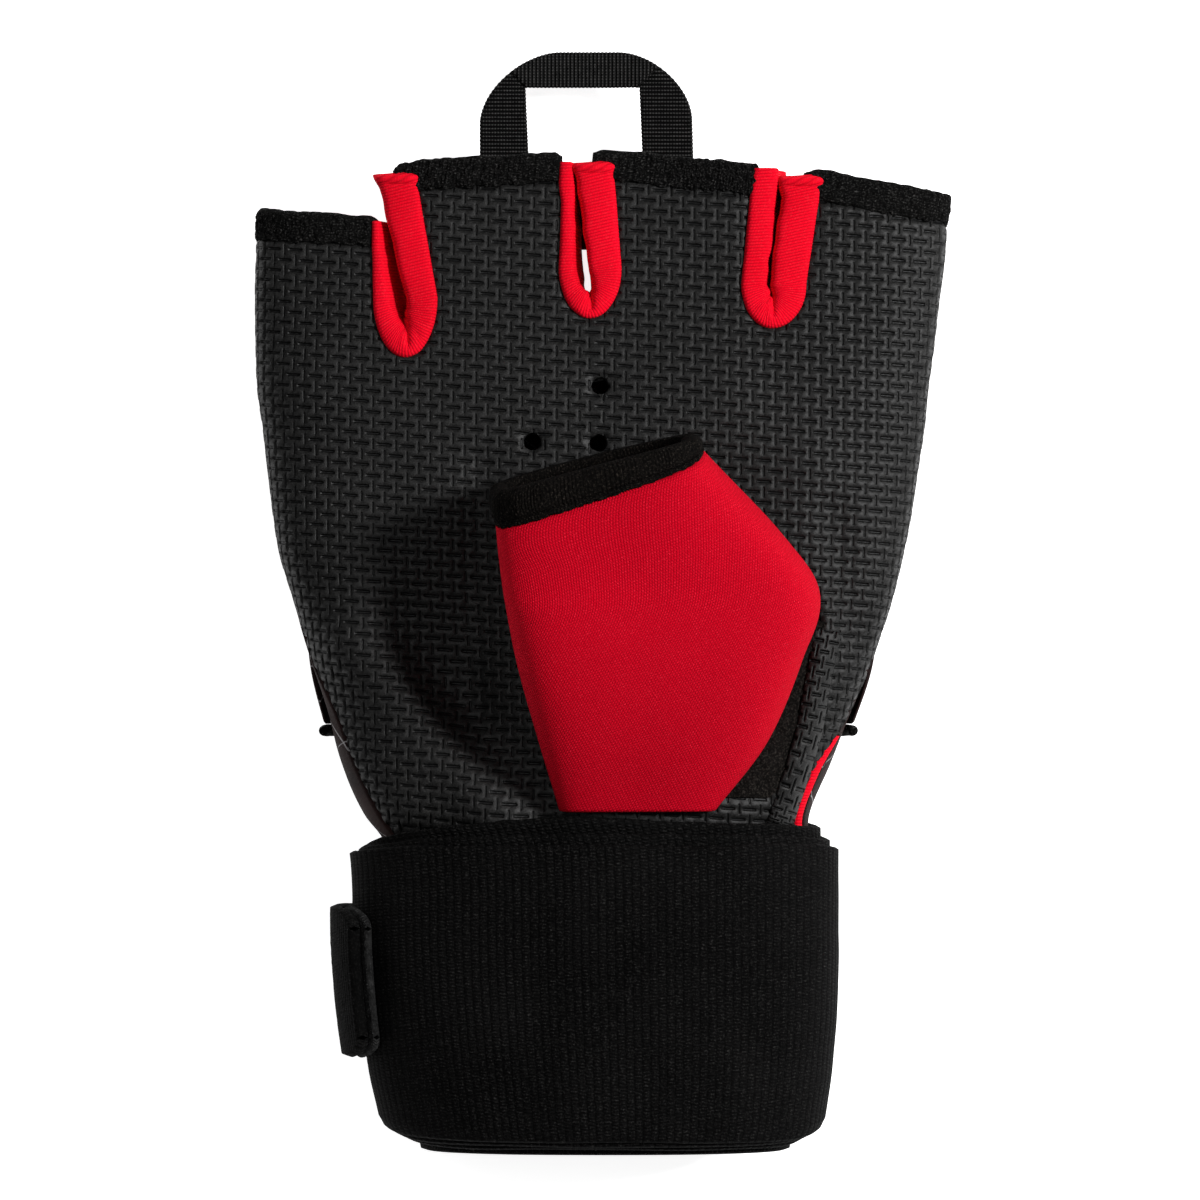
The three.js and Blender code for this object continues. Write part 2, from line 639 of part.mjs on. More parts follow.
// Thumb stall: sections between its two edges, with a raised top and an underside
function thumbPoint(at, turn, inset) {
  const value = (column) => columnAt(THUMB, 'at', column, at);
  const leftX = value('leftX');
  const rightX = value('rightX');
  const crest = mix(leftX, rightX, THUMB_CREST);
  const cosine = Math.cos(turn);
  const sine = Math.sin(turn);
  const x = crest + (cosine > 0 ? rightX - crest : crest - leftX) * cosine - inset * cosine;
  const level = mix(value('leftZ'), value('rightZ'), (1 + cosine) / 2);
  const middle = (value('leftZ') + value('rightZ')) / 2;
  const rise = sine > 0 ? value('top') - middle : middle - value('under');
  const z = level + rise * sine - inset * sine;
  const share = clamp((x - leftX) / (rightX - leftX), 0, 1);
  const lean = value(z > middle ? 'leanTop' : 'leanUnder');
  return [x, mix(value('leftY'), value('rightY'), share) + lean * (z - middle), z];
}

const thumbTurn = (c) => (2 * Math.PI * c) / THUMB_SIDES;

function thumbStall() {
  const rows = 12;
  const last = 1 - BINDING_SHARE;
  const place = (r, c, side) => thumbPoint(mix(0, last, r / rows), thumbTurn(c), side * THUMB_WALL);
  return toGeometry(toSolid(sheet(rows, THUMB_SIDES, place, true)).subtract(handCore(-SEAT)));
}

// Solid of the whole hand within an inset, used to seat what lies on the palm
function handCore(inset) {
  const rows = 30;
  const columns = 64;
  const shares = spread(HAND_SECTION, 0, 2 * Math.PI, columns);
  const ys = stations(CORE_LOW, CORE_HIGH, rows);
  return toSolid(loft(rows, columns, (r, c) => handPoint(ys[r], 2 * Math.PI * shares[c], inset)));
}

function thumbBinding() {
  const rows = 3;
  const from = 1 - BINDING_SHARE + BINDING_GAP_SHARE;
  return sheet(rows, THUMB_SIDES, (r, c, side) => {
    const inset = side === 0 ? -BINDING_PROUD : BINDING_WALL - BINDING_PROUD;
    return thumbPoint(mix(from, 1, r / rows), thumbTurn(c), inset);
  }, true);
}

// Smooth level path through places in plan
function smoothPath(places) {
  return new THREE.CatmullRomCurve3(places.map((place) => new THREE.Vector3(place.x, place.y, 0)));
}

// Smooth strip between the thumb stall and the turned edge of the palm
function thumbRoot() {
  const rows = 6;
  const left = smoothPath(THUMB_ROOT);
  const right = smoothPath(THUMB_HOLE.slice(5, 9).map((place) => ({ x: place.x - GAP, y: place.y })));
  return sheet(rows, 3, (r, c, side) => {
    const a = left.getPoint(r / rows);
    const b = right.getPoint(r / rows);
    const x = mix(a.x, b.x, c / 3);
    const y = mix(a.y, b.y, c / 3);
    return [x, y, handHeight(x, y, ROOT_INSET + side * ROOT_WALL, 1)];
  });
}

// Turned edge of the palm beside the thumb, a low half-round roll
function palmEdge() {
  const rows = 9;
  const columns = 4;
  const path = smoothPath(PALM_EDGE);
  return sheet(rows, columns, (r, c, side) => {
    const at = path.getPoint(r / rows);
    const along = path.getTangent(r / rows);
    const across = PALM_EDGE_WIDTH * (c / columns - 0.5);
    const x = at.x - along.y * across;
    const y = at.y + along.x * across;
    const roll = side === 0 ? PALM_EDGE_SIDE + PALM_EDGE_RISE * hump(c / columns) ** 0.6 : 0;
    return [x, y, handHeight(x, y, -SEAT - roll, 1)];
  });
}

function wristCuff() {
  const rows = 5;
  const shares = spread(WRIST_SECTION, radians(WRAP_START), radians(WRAP_START) + 2 * Math.PI, PER_TURN);
  return sheet(rows, PER_TURN, (r, c, side) => {
    const y = mix(PANEL_END - GAP, CUFF_END, r / rows);
    return handPoint(y, radians(WRAP_START) + 2 * Math.PI * shares[c], side * CUFF_WALL);
  }, true);
}

// Layers of wrap below the band at an angle that grows along it
const wrapLayer = (angle) => (angle - radians(WRAP_START)) / (2 * Math.PI);
const OUTER_LAYER = wrapLayer(radians(WRAP_FINISH));

// Point of the wrap at a height proud of the cuff. Each layer is flat underneath, where it rests.
function wrapPoint(y, angle, proud, floor) {
  const [x, , z] = handPoint(y, angle, -proud);
  if (Math.sin(angle) > 0) return [x, y, z];
  return [x, y, Math.max(floor, handPoint(y, angle, -proud - WRAP_SAG)[2])];
}

function wristWrap() {
  const steps = Math.round(OUTER_LAYER * PER_TURN);
  const columns = 3;
  const shares = spread(WRIST_SECTION, radians(WRAP_START), radians(WRAP_START) + 2 * Math.PI, PER_TURN);
  return sheet(steps, columns, (r, c, side) => {
    const angle = radians(WRAP_START) + 2 * Math.PI * (Math.floor(r / PER_TURN) + shares[r % PER_TURN]);
    const layer = wrapLayer(angle);
    const slump = WRAP_SLUMP * Math.max(0, -Math.cos(angle)) ** 6;
    const top = WRAP_TOP - WRAP_TOP_STEP * layer - slump;
    const y = mix(top, WRAP_BOTTOM + WRAP_BOTTOM_STEP * layer, c / columns);
    const face = side === 0 ? WRAP_BAND : 0;
    const floor = WRAP_PITCH * (Math.floor(OUTER_LAYER) - Math.round(layer)) + WRAP_BAND - face;
    return wrapPoint(y, angle, SEAT + WRAP_PITCH * layer + face, floor);
  });
}

// Closure tab: a hook patch on the wrap and a strap over it, both round-cornered at the free end
function closureLayer(inner, outer, from, to) {
  const rows = 8;
  const columns = 4;
  return sheet(rows, columns, (r, c, side) => {
    const angle = radians(mix(from, to, r / rows));
    const corner = clamp(1 - (r / rows) / TAB.cornerShare, 0, 1);
    const tuck = TAB.corner * (1 - Math.sqrt(1 - corner ** 2));
    const y = mix(TAB.top - tuck, TAB.bottom + tuck, c / columns);
    return wrapPoint(y, angle, side === 0 ? outer : inner, 0);
  });
}

// Webbing bent into a rounded arch with square inner corners; its legs lean in a little
function pullLoop() {
  const { outerLeft, outerRight, innerLeft, innerRight, shoulderY, crownLeft, crownRight, crownY, lean } = LOOP;
  const rise = crownY - shoulderY;
  const shape = new THREE.Shape();
  shape.moveTo(outerLeft, LOOP.footY);
  shape.lineTo(outerLeft, shoulderY);
  shape.bezierCurveTo(outerLeft + lean, shoulderY + rise / 2, crownLeft - rise / 2, crownY, crownLeft, crownY);
  shape.lineTo(crownRight, crownY);
  shape.bezierCurveTo(
    crownRight + rise / 2, crownY, outerRight - lean, shoulderY + rise / 2, outerRight - lean, shoulderY,
  );
  shape.lineTo(outerRight, LOOP.footY);
  shape.lineTo(innerRight + lean, LOOP.footY);
  shape.lineTo(innerRight - lean, LOOP.innerY);
  shape.lineTo(innerLeft - lean, LOOP.innerY);
  shape.lineTo(innerLeft + lean, LOOP.footY);
  shape.closePath();
  const geometry = new THREE.ExtrudeGeometry(shape, { depth: WEBBING, bevelEnabled: false, curveSegments: 8 });
  geometry.translate(0, 0, LOOP.height);
  geometry.deleteAttribute('normal');
  geometry.deleteAttribute('uv');
  return mergeVertices(geometry, 1e-4);
}

add('palm_panel', palmPanel(), COLOURS.rubber);
add('back_panel', backPanel(), COLOURS.print);
add('side_gusset', sideGusset(false), COLOURS.red);
add('knuckle_pad', knucklePad(), COLOURS.print);
add('pad_hem', padHem(), COLOURS.knit);
for (const slot of SLOTS) add(`fourchette_${slot.name}`, fourchette(slot), COLOURS.red);
for (const finger of FINGERS) {
  add(`hem_palm_${finger.name}`, fingerHem(finger, 1), COLOURS.knit);
  add(`hem_back_${finger.name}`, fingerHem(finger, -1), COLOURS.knit);
}
add('thumb_stall', thumbStall(), COLOURS.jersey);
add('thumb_binding', thumbBinding(), COLOURS.knit);
add('thumb_root', thumbRoot(), COLOURS.smooth);
add('palm_edge', palmEdge(), COLOURS.rubber);
add('wrist_cuff', wristCuff(), COLOURS.knit);
add('wrist_wrap', wristWrap(), COLOURS.elastic);
const wrapOut = SEAT + WRAP_PITCH * OUTER_LAYER + WRAP_BAND + GAP;
const strapIn = wrapOut + TAB.hook + GAP;
add('closure_hook', closureLayer(wrapOut, wrapOut + TAB.hook, TAB.hookFrom, TAB.to), COLOURS.knit);
add('closure_tab', closureLayer(strapIn, strapIn + TAB.strap, TAB.from, TAB.to), COLOURS.elastic);
add('pull_loop', pullLoop(), COLOURS.knit);

export default glove;
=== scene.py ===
"""Looks of a boxing inner glove for a right hand, lying on its knuckle pad with the palm up.

Shapes are worked out in millimetres: +X is the thumb side, +Y points to the fingers, +Z is up.
"""

import math

import bpy
import numpy as np
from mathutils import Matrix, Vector

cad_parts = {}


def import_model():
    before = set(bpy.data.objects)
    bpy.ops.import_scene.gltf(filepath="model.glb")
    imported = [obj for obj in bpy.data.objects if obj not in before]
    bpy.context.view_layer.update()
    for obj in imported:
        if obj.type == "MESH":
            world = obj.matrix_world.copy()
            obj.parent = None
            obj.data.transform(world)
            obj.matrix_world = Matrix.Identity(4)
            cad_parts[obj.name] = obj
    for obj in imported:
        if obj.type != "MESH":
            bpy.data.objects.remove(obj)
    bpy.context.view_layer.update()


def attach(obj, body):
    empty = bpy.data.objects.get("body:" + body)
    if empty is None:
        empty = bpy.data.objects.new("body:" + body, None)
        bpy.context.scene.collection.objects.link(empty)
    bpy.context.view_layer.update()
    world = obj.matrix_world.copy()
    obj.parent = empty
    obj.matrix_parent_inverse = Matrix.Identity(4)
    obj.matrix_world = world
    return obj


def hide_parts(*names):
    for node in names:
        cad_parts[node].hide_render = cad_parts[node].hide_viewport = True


MM = 0.001
GAP = 0.3
SEAT = 0.7
PALM_WALL = 2.5
BACK_WALL = 1.8
THUMB_WALL = 2.0
CUFF_WALL = 1.6
WEBBING = 1.3

# Places inside the hand that the faces of the palm and of the back turn away from
PALM_MIDDLE = np.array((0, 0, 18))
BACK_MIDDLE = np.array((0, 0, 20))

# Lengths along the hand
PANEL_END = -40.6
CUFF_END = -91.6
HEM_HEIGHT = 4.2
SEAM_CLEAR = 1.6
PAD_TOP = 38
PAD_BOTTOM = -20.6
ABOVE_FINGERS = 78
BEYOND_FINGERS = 88
BESIDE_HAND = 80

# Knuckle pad and side gusset
PAD_EDGE = 1.3
PAD_SWELL = 8.4
PAD_ARC = (0.06, 0.94)
PAD_HEM_RADIUS = 1.25
PAD_HEM_TAPER = 0.6
PAD_UNDER = 32
PAD_SIDE = 2
PAD_CLIMB_FROM = 2
GUSSET_SPAN = 5
GUSSET_TOP = PAD_BOTTOM - 2.4

# Elastic wrap: where it starts and ends, in degrees, how its edges step from layer to layer, the steps of
# its mesh in one turn, and the width of the flat band
WRAP_START = -80
WRAP_FINISH = 900
WRAP_PITCH = 1.5
WRAP_BAND = 1.2
WRAP_TOP = -36.6
WRAP_TOP_STEP = 1.75
WRAP_BOTTOM = -91.0
WRAP_BOTTOM_STEP = 0.8
WRAP_SLUMP = 1.2
WRAP_SAG = 1.0
WRAP_STEPS = 150
FLOOR_CLEAR = 0.05

# Hand body: one row for each cross-section. left and right are the edges, palm and back the highest
# and lowest outer faces, round the squareness, and the seams are in degrees above level.
HAND_COLUMNS = ("y", "left", "right", "palm", "back", "round", "seam_left", "seam_right")
HAND_ROWS = (
    (-92, -30.2, 31.2, 31.4, 4.8, 2.4, 25, 12),
    (-75, -33.8, 33.4, 32.0, 4.8, 2.4, 25, 12),
    (-60, -35.4, 34.1, 32.2, 4.8, 2.4, 25, 12),
    (-41, -36.3, 34.2, 32.6, 4.9, 2.4, 25, 19),
    (-36, -39.6, 34.4, 34.4, 5.6, 2.4, 25, 22),
    (-28, -43.2, 37.9, 34.8, 6.3, 2.5, 22, 24),
    (-20, -45.4, 41.0, 34.2, 6.9, 2.5, 18, 11),
    (-10, -48.6, 45.0, 33.2, 7.4, 2.6, 8, 4),
    (0, -51.6, 48.1, 32.2, 7.7, 2.7, -2, -4),
    (13, -54.7, 51.1, 31.0, 7.8, 2.8, -8, -10),
    (33, -56.9, 54.2, 29.0, 7.6, 2.9, -12, -12),
    (50, -58.2, 56.3, 26.0, 7.0, 3.0, -14, -14),
    (62, -57.6, 57.5, 24.0, 6.4, 3.0, -14, -14),
    (80, -55.6, 59.0, 22.0, 5.8, 3.0, -14, -14),
)
WIDEST_AT = 0.46

# Soft relief of the palm, as in the solids: a hollow beside the thumb and a swell at the heel
PALM_RELIEF = (
    {"x": -25, "y": -13, "spread_x": 11, "spread_y": 19, "rise": -4.2},
    {"x": -35, "y": -30, "spread_x": 9, "spread_y": 12, "rise": 1.6},
)

# Slots between the fingers. foot and top give the width of the flat strips of red gusset at the slot's
# foot and top; slope is how far the little-finger side then slants into the slot on its way down, and
# deep how many times further it goes below; wavy is how uneven its inner edge is, crotch how wide the
# strip is at the crotch, and tuck how far the strip's end goes under the hem beside it
SLOT_COLUMNS = (
    "name", "crotch_x", "crotch_y", "shoulder", "side_left", "side_right", "top_left", "top_left_y",
    "top_right", "top_right_y", "left_foot", "left_top", "right_foot", "right_top", "slope_foot",
    "slope_top", "deep", "wavy", "crotch", "tuck",
)
SLOT_ROWS = (
    ("pinky_ring", -32.6, 40.1, 49.6, -37.6, -27.7, -37.7, 62.4, -31.4, 70.4,
     1.9, 0.3, 4.3, 5.9, 2.6, 1.6, 1.75, 0.1, 4.9, 0.1),
    ("ring_middle", -2.1, 46.6, 54.6, -6.8, 2.8, -6.2, 72.2, 1.4, 72.2,
     1.6, 0.9, 4.6, 5.8, 1.5, 0.7, 1.0, 0.15, 3.6, 0.5),
    ("middle_index", 27.9, 44.9, 52.0, 23.4, 33.4, 25.4, 71.2, 36.2, 70.0,
     3.1, 3.6, 5.0, 6.0, 0.6, 0.4, 4.0, 0.4, 4.9, 0.0),
)
SLOTS = [dict(zip(SLOT_COLUMNS, row, strict=True)) for row in SLOT_ROWS]

# Finger stalls: the ends of each knitted hem, left and right
FINGER_COLUMNS = ("name", "left_x", "left_y", "right_x", "right_y")
FINGER_ROWS = (
    ("pinky", -57.6, 64.9, -38.0, 63.4),
    ("ring", -34.2, 72.4, -6.9, 74.2),
    ("middle", -1.6, 74.6, 26.2, 72.2),
    ("index", 34.6, 71.4, 58.2, 67.4),
)
FINGERS = [dict(zip(FINGER_COLUMNS, row, strict=True)) for row in FINGER_ROWS]

SIDE_STEPS = np.linspace(0, 1, 28)

VENT_RADIUS = 1.5
VENT_INNER_RADIUS = 2.4
VENTS = ((-0.4, 35.1), (-11.6, 25.8), (-0.7, 25.6))

# Thumb stall: sections from the wrist end to the opening, as in the solids
THUMB_COLUMNS = (
    "at", "left_x", "left_y", "right_x", "right_y", "left_z", "right_z", "top", "under",
    "lean_top", "lean_under",
)
THUMB_ROWS = (
    (0.0, -7.1, -35.0, 18.6, -35.0, 33.6, 31.6, 37.8, 28.0, 0, 0),
    (0.25, -10.4, -23.7, 27.2, -23.7, 36.6, 31.0, 43.6, 27.0, -0.03, -0.01),
    (0.5, -13.9, -10.4, 32.9, -10.4, 39.0, 30.2, 48.2, 26.5, -0.1, -0.03),
    (0.7, -15.9, 0.6, 35.7, 1.0, 40.5, 31.0, 50.0, 29.0, -0.2, -0.06),
    (0.83, -16.8, 7.0, 28.8, 11.0, 41.2, 37.0, 50.6, 33.0, -0.3, -0.1),
    (0.92, -17.3, 12.4, 17.4, 23.0, 41.8, 40.2, 51.0, 33.8, -0.36, -0.12),
    (1.0, -17.6, 18.4, 14.4, 26.6, 42.0, 41.0, 51.0, 34.2, -0.04, -0.12),
)
THUMB_CREST = 0.45
THUMB_FLAT = 4.2
THUMB_CLEAR = 0.15
THUMB_SUNK = -0.5
BINDING_SHARE = 0.066

THUMB_HOLE = (
    (-1, -31), (-3, -14), (3, -4), (18, -0.2), (35, -0.4),
    (36.4, -4), (33.4, -17), (30.6, -27), (27.2, -33), (4, -33),
)
PALM_EDGE = ((37.3, -5.5), (35.6, -14.0), (33.9, -23.0), (30.3, -34.6), (29.0, -38.4))
PALM_EDGE_WIDTH = 3.4
PALM_EDGE_RISE = 1.3
PALM_EDGE_RUN = 34
THUMB_ROOT = ((30.0, -2.6), (29.0, -12.0), (24.0, -23.0), (14.0, -32.6))

# Pull loop, as in the solids
LOOP = {
    "outer_left": -20.6, "outer_right": 15.6, "shoulder_y": 80, "crown_left": -7.1,
    "crown_right": 2.6, "crown_y": 91.6, "inner_left": -12.4, "inner_right": 6.7,
    "inner_y": 85.6, "foot_y": 63, "height": 8.8, "lean": 0.5,
}

# Closure tab, in degrees round the wrist and millimetres along it
TAB = {
    "from": 155, "hook_from": 153, "to": 222, "top": -51.7, "bottom": -75.9, "hook": 1.2,
    "strap": 2.0, "corner": 3.2, "corner_share": 0.2,
}
TAB_RUN = 50

# Red gussets: spacing of their ribs, and the thin wall that shows
GUSSET_RIB = 0.52
GUSSET_THIN = 0.45

# Webbing of the loop: spacing of its ribs and of the beads along them
RIB_PITCH = 0.64
BEAD_PITCH = 0.5

# Embossed palm: level dashes and upright ticks by turns on a lattice. The mask's lengths and widths say
# how far it is full, and how much further it fades out.
MARK_ACROSS = 1.9
MARK_ALONG = 1.75
DASH = {
    "half_length": 1.25, "half_width": 0.22, "mask_length": (1.0, 0.35), "mask_width": (0.08, 0.22),
}
TICK = {
    "half_length": 1.05, "half_width": 0.17, "mask_length": (0.65, 0.35), "mask_width": (0.04, 0.2),
}
MARK_DEPTH = 0.46
ROWS_FALL = 0.07


def mix(a, b, t):
    return a + (b - a) * t


def hump(t):
    return np.sin(np.pi * np.clip(t, 0, 1))


def fade(low, high, x):
    """Smooth rise from 0 at low to 1 at high."""
    t = np.clip((x - low) / (high - low), 0, 1)
    return t * t * (3 - 2 * t)


def soft_noise(u, v, size, seed):
    """Smooth noise from -1 to 1 whose lumps are about size millimetres wide."""
    lattice = np.random.default_rng(seed).uniform(-1, 1, (64, 64))
    a = np.asarray(u) / size
    b = np.asarray(v) / size
    i = np.floor(a).astype(int)
    j = np.floor(b).astype(int)
    s = fade(0, 1, a - i)
    t = fade(0, 1, b - j)

    def corner(right, up):
        return lattice[(i + right) % 64, (j + up) % 64]

    return mix(mix(corner(0, 0), corner(1, 0), s), mix(corner(0, 1), corner(1, 1), s), t)


def unit(vectors):
    return vectors / np.maximum(np.linalg.norm(vectors, axis=-1, keepdims=True), 1e-12)


def travel(points):
    """Distance along each line of points from its first point."""
    steps = np.linalg.norm(np.diff(points, axis=-2), axis=-1)
    return np.concatenate((np.zeros((*steps.shape[:-1], 1)), np.cumsum(steps, axis=-1)), axis=-1)


def stack(*parts):
    """Points or places from grids of their coordinates."""
    return np.stack(np.broadcast_arrays(*parts), axis=-1)


def round_angles(count):
    """Angles all round, without the last one that meets the first."""
    return np.arange(count) * 2 * np.pi / count


def resample(points, lengths, where):
    return np.stack([np.interp(where, lengths, column) for column in points.T], axis=-1)


def grid(rows, columns):
    """Two grids of shares from 0 to 1, down the rows and along the columns."""
    return np.meshgrid(np.linspace(0, 1, rows), np.linspace(0, 1, columns), indexing="ij")


def smooth_curve(knots, values, where):
    """Smooth curve through values at rising knots."""
    knots, values = np.array(knots, float), np.array(values, float)
    low = np.maximum(np.arange(len(knots)) - 1, 0)
    high = np.minimum(np.arange(len(knots)) + 1, len(knots) - 1)
    slopes = (values[high] - values[low]) / (knots[high] - knots[low])
    i = np.clip(np.searchsorted(knots, where, side="right") - 1, 0, len(knots) - 2)
    span = knots[i + 1] - knots[i]
    t = np.clip((where - knots[i]) / span, 0, 1)
    t2 = t * t
    t3 = t2 * t
    return (
        (2 * t3 - 3 * t2 + 1) * values[i]
        + (t3 - 2 * t2 + t) * span * slopes[i]
        + (3 * t2 - 2 * t3) * values[i + 1]
        + (t3 - t2) * span * slopes[i + 1]
    )


def smooth_column(columns, rows, name, where):
    """Smooth curve through one column of a table whose first column rises."""
    return smooth_curve([row[0] for row in rows], [row[columns.index(name)] for row in rows], where)


def smooth_rows(rows, count):
    """Smooth curves through all columns of a table, at a number of evenly spaced places."""
    where = np.linspace(0, len(rows) - 1, count)
    return np.stack([smooth_curve(np.arange(len(rows)), column, where) for column in zip(*rows)], axis=-1)


def hand(y, name):
    return smooth_column(HAND_COLUMNS, HAND_ROWS, name, y)


def palm_relief(x, y):
    rise = 0
    for swell in PALM_RELIEF:
        dx = (x - swell["x"]) / swell["spread_x"]
        dy = (y - swell["y"]) / swell["spread_y"]
        rise = rise + swell["rise"] * np.exp(-dx * dx - dy * dy)
    return rise


def hand_section(y, inset=0):
    """Left and right edges, palm and back faces and the level between them at places along the hand."""
    left = hand(y, "left") + inset
    right = hand(y, "right") - inset
    palm = hand(y, "palm")
    back = hand(y, "back")
    return left, right, palm, back, mix(back, palm, WIDEST_AT)


def hand_point(y, angle, inset=0):
    """Points of the hand's cross-sections at angles from the thumb side, inset from the skin."""
    y, angle, inset = np.broadcast_arrays(np.asarray(y, float), angle, inset)
    left, right, palm, back, level = hand_section(y, inset)
    power = 2 / hand(y, "round")
    cosine = np.cos(angle)
    sine = np.sin(angle)
    x = (left + right) / 2 + (right - left) / 2 * np.sign(cosine) * np.abs(cosine) ** power
    up = np.abs(sine) ** power
    above = level + (palm - level - inset + palm_relief(x, y)) * up
    below = level - (level - back - inset) * up
    return stack(x, y, np.where(sine < 0, below, above))


def hand_height(x, y, inset, side=1):
    """Height of the palm side (1) or of the back (-1) at places in plan."""
    left, right, palm, back, level = hand_section(y, inset)
    power = hand(y, "round")
    across = np.clip(np.abs(x - (left + right) / 2) / ((right - left) / 2), 0, 1)
    up = (1 - across**power) ** (1 / power)
    if side < 0:
        return level - (level - back - inset) * up
    return level + (palm - level - inset + palm_relief(x, y)) * up


def angle_at(x, y, facing=1):
    """Angle of the section at a place in plan, on the palm side (1) or the back (-1)."""
    left, right = hand_section(y)[:2]
    across = np.clip((x - (left + right) / 2) / ((right - left) / 2), -1, 1)
    return facing * np.arccos(np.sign(across) * np.abs(across) ** (hand(y, "round") / 2))


def seams(y, clear=0):
    """Angles of the panels' seams on the thumb side and on the little-finger side."""
    return np.radians(hand(y, "seam_right") - clear), np.pi - np.radians(hand(y, "seam_left") - clear)


def grid_quads(rows, columns, looped=False):
    """Corner numbers of the quads of a grid of points, in rows."""
    across = columns if looped else columns - 1
    r, c = np.meshgrid(np.arange(rows - 1), np.arange(across), indexing="ij")
    following = (c + 1) % columns
    corners = (r * columns + c, r * columns + following)
    corners += ((r + 1) * columns + following, (r + 1) * columns + c)
    return np.stack(corners, axis=-1).reshape(-1, 4)


def grid_normals(points):
    """Unit normals of a grid of points."""
    return unit(np.cross(np.gradient(points, axis=0), np.gradient(points, axis=1)))


def signed_volume(points, quads):
    a, b, c, d = (points[quads[:, k]] for k in range(4))
    return np.sum(np.cross(a, b) * c) + np.sum(np.cross(a, c) * d)


def add_object(name, data):
    thing = bpy.data.objects.new(name, data)
    bpy.context.scene.collection.objects.link(thing)
    return thing


def add_piece(name, points, quads, weave, material, slot, nodes=()):
    """Makes one piece from points in millimetres, and weave, its place in the cloth in millimetres."""
    points = np.asarray(points, float).reshape(-1, 3)
    used, numbers = np.unique(quads, return_inverse=True)
    quads = numbers.reshape(quads.shape)
    points = points[used]
    weave = np.asarray(weave, float).reshape(-1, 2)[used]
    mesh = bpy.data.meshes.new(name)
    mesh.from_pydata((points * MM).tolist(), [], quads.tolist())
    layer = mesh.uv_layers.new(name="Weave")
    layer.data.foreach_set("uv", (weave[quads.ravel()] / 100).ravel())
    mesh.polygons.foreach_set("use_smooth", np.ones(len(quads), bool))
    mesh.materials.append(material)
    mesh.update()
    piece = add_object(name, mesh)
    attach(piece, "root")
    if nodes:
        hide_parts(*nodes)
    return piece


def shell(outer, inner, weave, looped=False, bulge=0.0):
    """Closed wall between two grids, with soft rims. weave is given for the grid's points."""
    rows, columns = outer.shape[:2]
    middle = (outer + inner) / 2
    count = rows * columns
    points = [outer.reshape(-1, 3), inner.reshape(-1, 3)]
    places = [weave.reshape(-1, 2), weave.reshape(-1, 2)]
    quads = [grid_quads(rows, columns, looped), grid_quads(rows, columns, looped)[:, ::-1] + count]
    ids = np.arange(count).reshape(rows, columns)
    rims = [(ids[0], middle[0] - middle[1]), (ids[-1][::-1], (middle[-1] - middle[-2])[::-1])]
    if not looped:
        rims.append((ids[:, -1], middle[:, -1] - middle[:, -2]))
        rims.append((ids[::-1, 0], (middle[:, 0] - middle[:, 1])[::-1]))
    total = 2 * count
    for rim, outward in rims:
        swollen = middle.reshape(-1, 3)[rim] + unit(outward) * bulge
        points.append(swollen)
        places.append(weave.reshape(-1, 2)[rim])
        line = total + np.arange(len(rim))
        total += len(rim)
        steps = np.arange(len(rim)) if looped else np.arange(len(rim) - 1)
        following = (steps + 1) % len(rim)
        quads.append(np.stack((rim[following], rim[steps], line[steps], line[following]), axis=1))
        inward = rim + count
        quads.append(np.stack((line[following], line[steps], inward[steps], inward[following]), axis=1))
    points = np.concatenate(points)
    quads = np.concatenate(quads)
    if signed_volume(points, quads) < 0:
        quads = quads[:, ::-1]
    return points, quads, np.concatenate(places)


def tube(rings, weave, joined=False):
    """Skin of a row of closed rings. The ends are capped unless the last ring joins the first."""
    rows, columns = rings.shape[:2]
    points = rings.reshape(-1, 3)
    places = weave.reshape(-1, 2)
    quads = grid_quads(rows, columns, looped=True)
    if joined:
        last = np.arange(columns) + (rows - 1) * columns
        first = np.arange(columns)
        closing = (last, np.roll(last, -1), np.roll(first, -1), first)
        quads = np.concatenate((quads, np.stack(closing, axis=1)))
    else:
        for row, turned in ((0, True), (rows - 1, False)):
            ring = np.arange(columns) + row * columns
            half = columns // 2
            for k in range(half - 1):
                a, b, c, d = ring[k], ring[k + 1], ring[-k - 2], ring[-k - 1]
                quad = (d, c, b, a) if turned else (a, b, c, d)
                quads = np.concatenate((quads, [quad]))
    if signed_volume(points, quads) < 0:
        quads = quads[:, ::-1]
    return points, quads, places


def inside(plan, outline):
    """Which places lie inside a closed outline."""
    x, y = plan[:, 0, None], plan[:, 1, None]
    start = np.asarray(outline, float)
    end = np.roll(start, -1, axis=0)
    spans = (start[:, 1] > y) != (end[:, 1] > y)
    rise = end[:, 1] - start[:, 1]
    rise = np.where(rise == 0, 1, rise)
    crossing = start[:, 0] + (y - start[:, 1]) * (end[:, 0] - start[:, 0]) / rise
    return np.sum(spans & (x < crossing), axis=1) % 2 == 1


def nearest_on(plan, outline):
    """Nearest places on a closed outline, and how far they are."""
    start = np.asarray(outline, float)
    along = np.roll(start, -1, axis=0) - start
    reach = plan[:, None] - start
    t = np.clip(np.sum(reach * along, axis=2) / np.sum(along * along, axis=1), 0, 1)
    feet = start + along * t[..., None]
    away = np.linalg.norm(plan[:, None] - feet, axis=2)
    best = np.argmin(away, axis=1)
    rows = np.arange(len(plan))
    return feet[rows, best], away[rows, best]


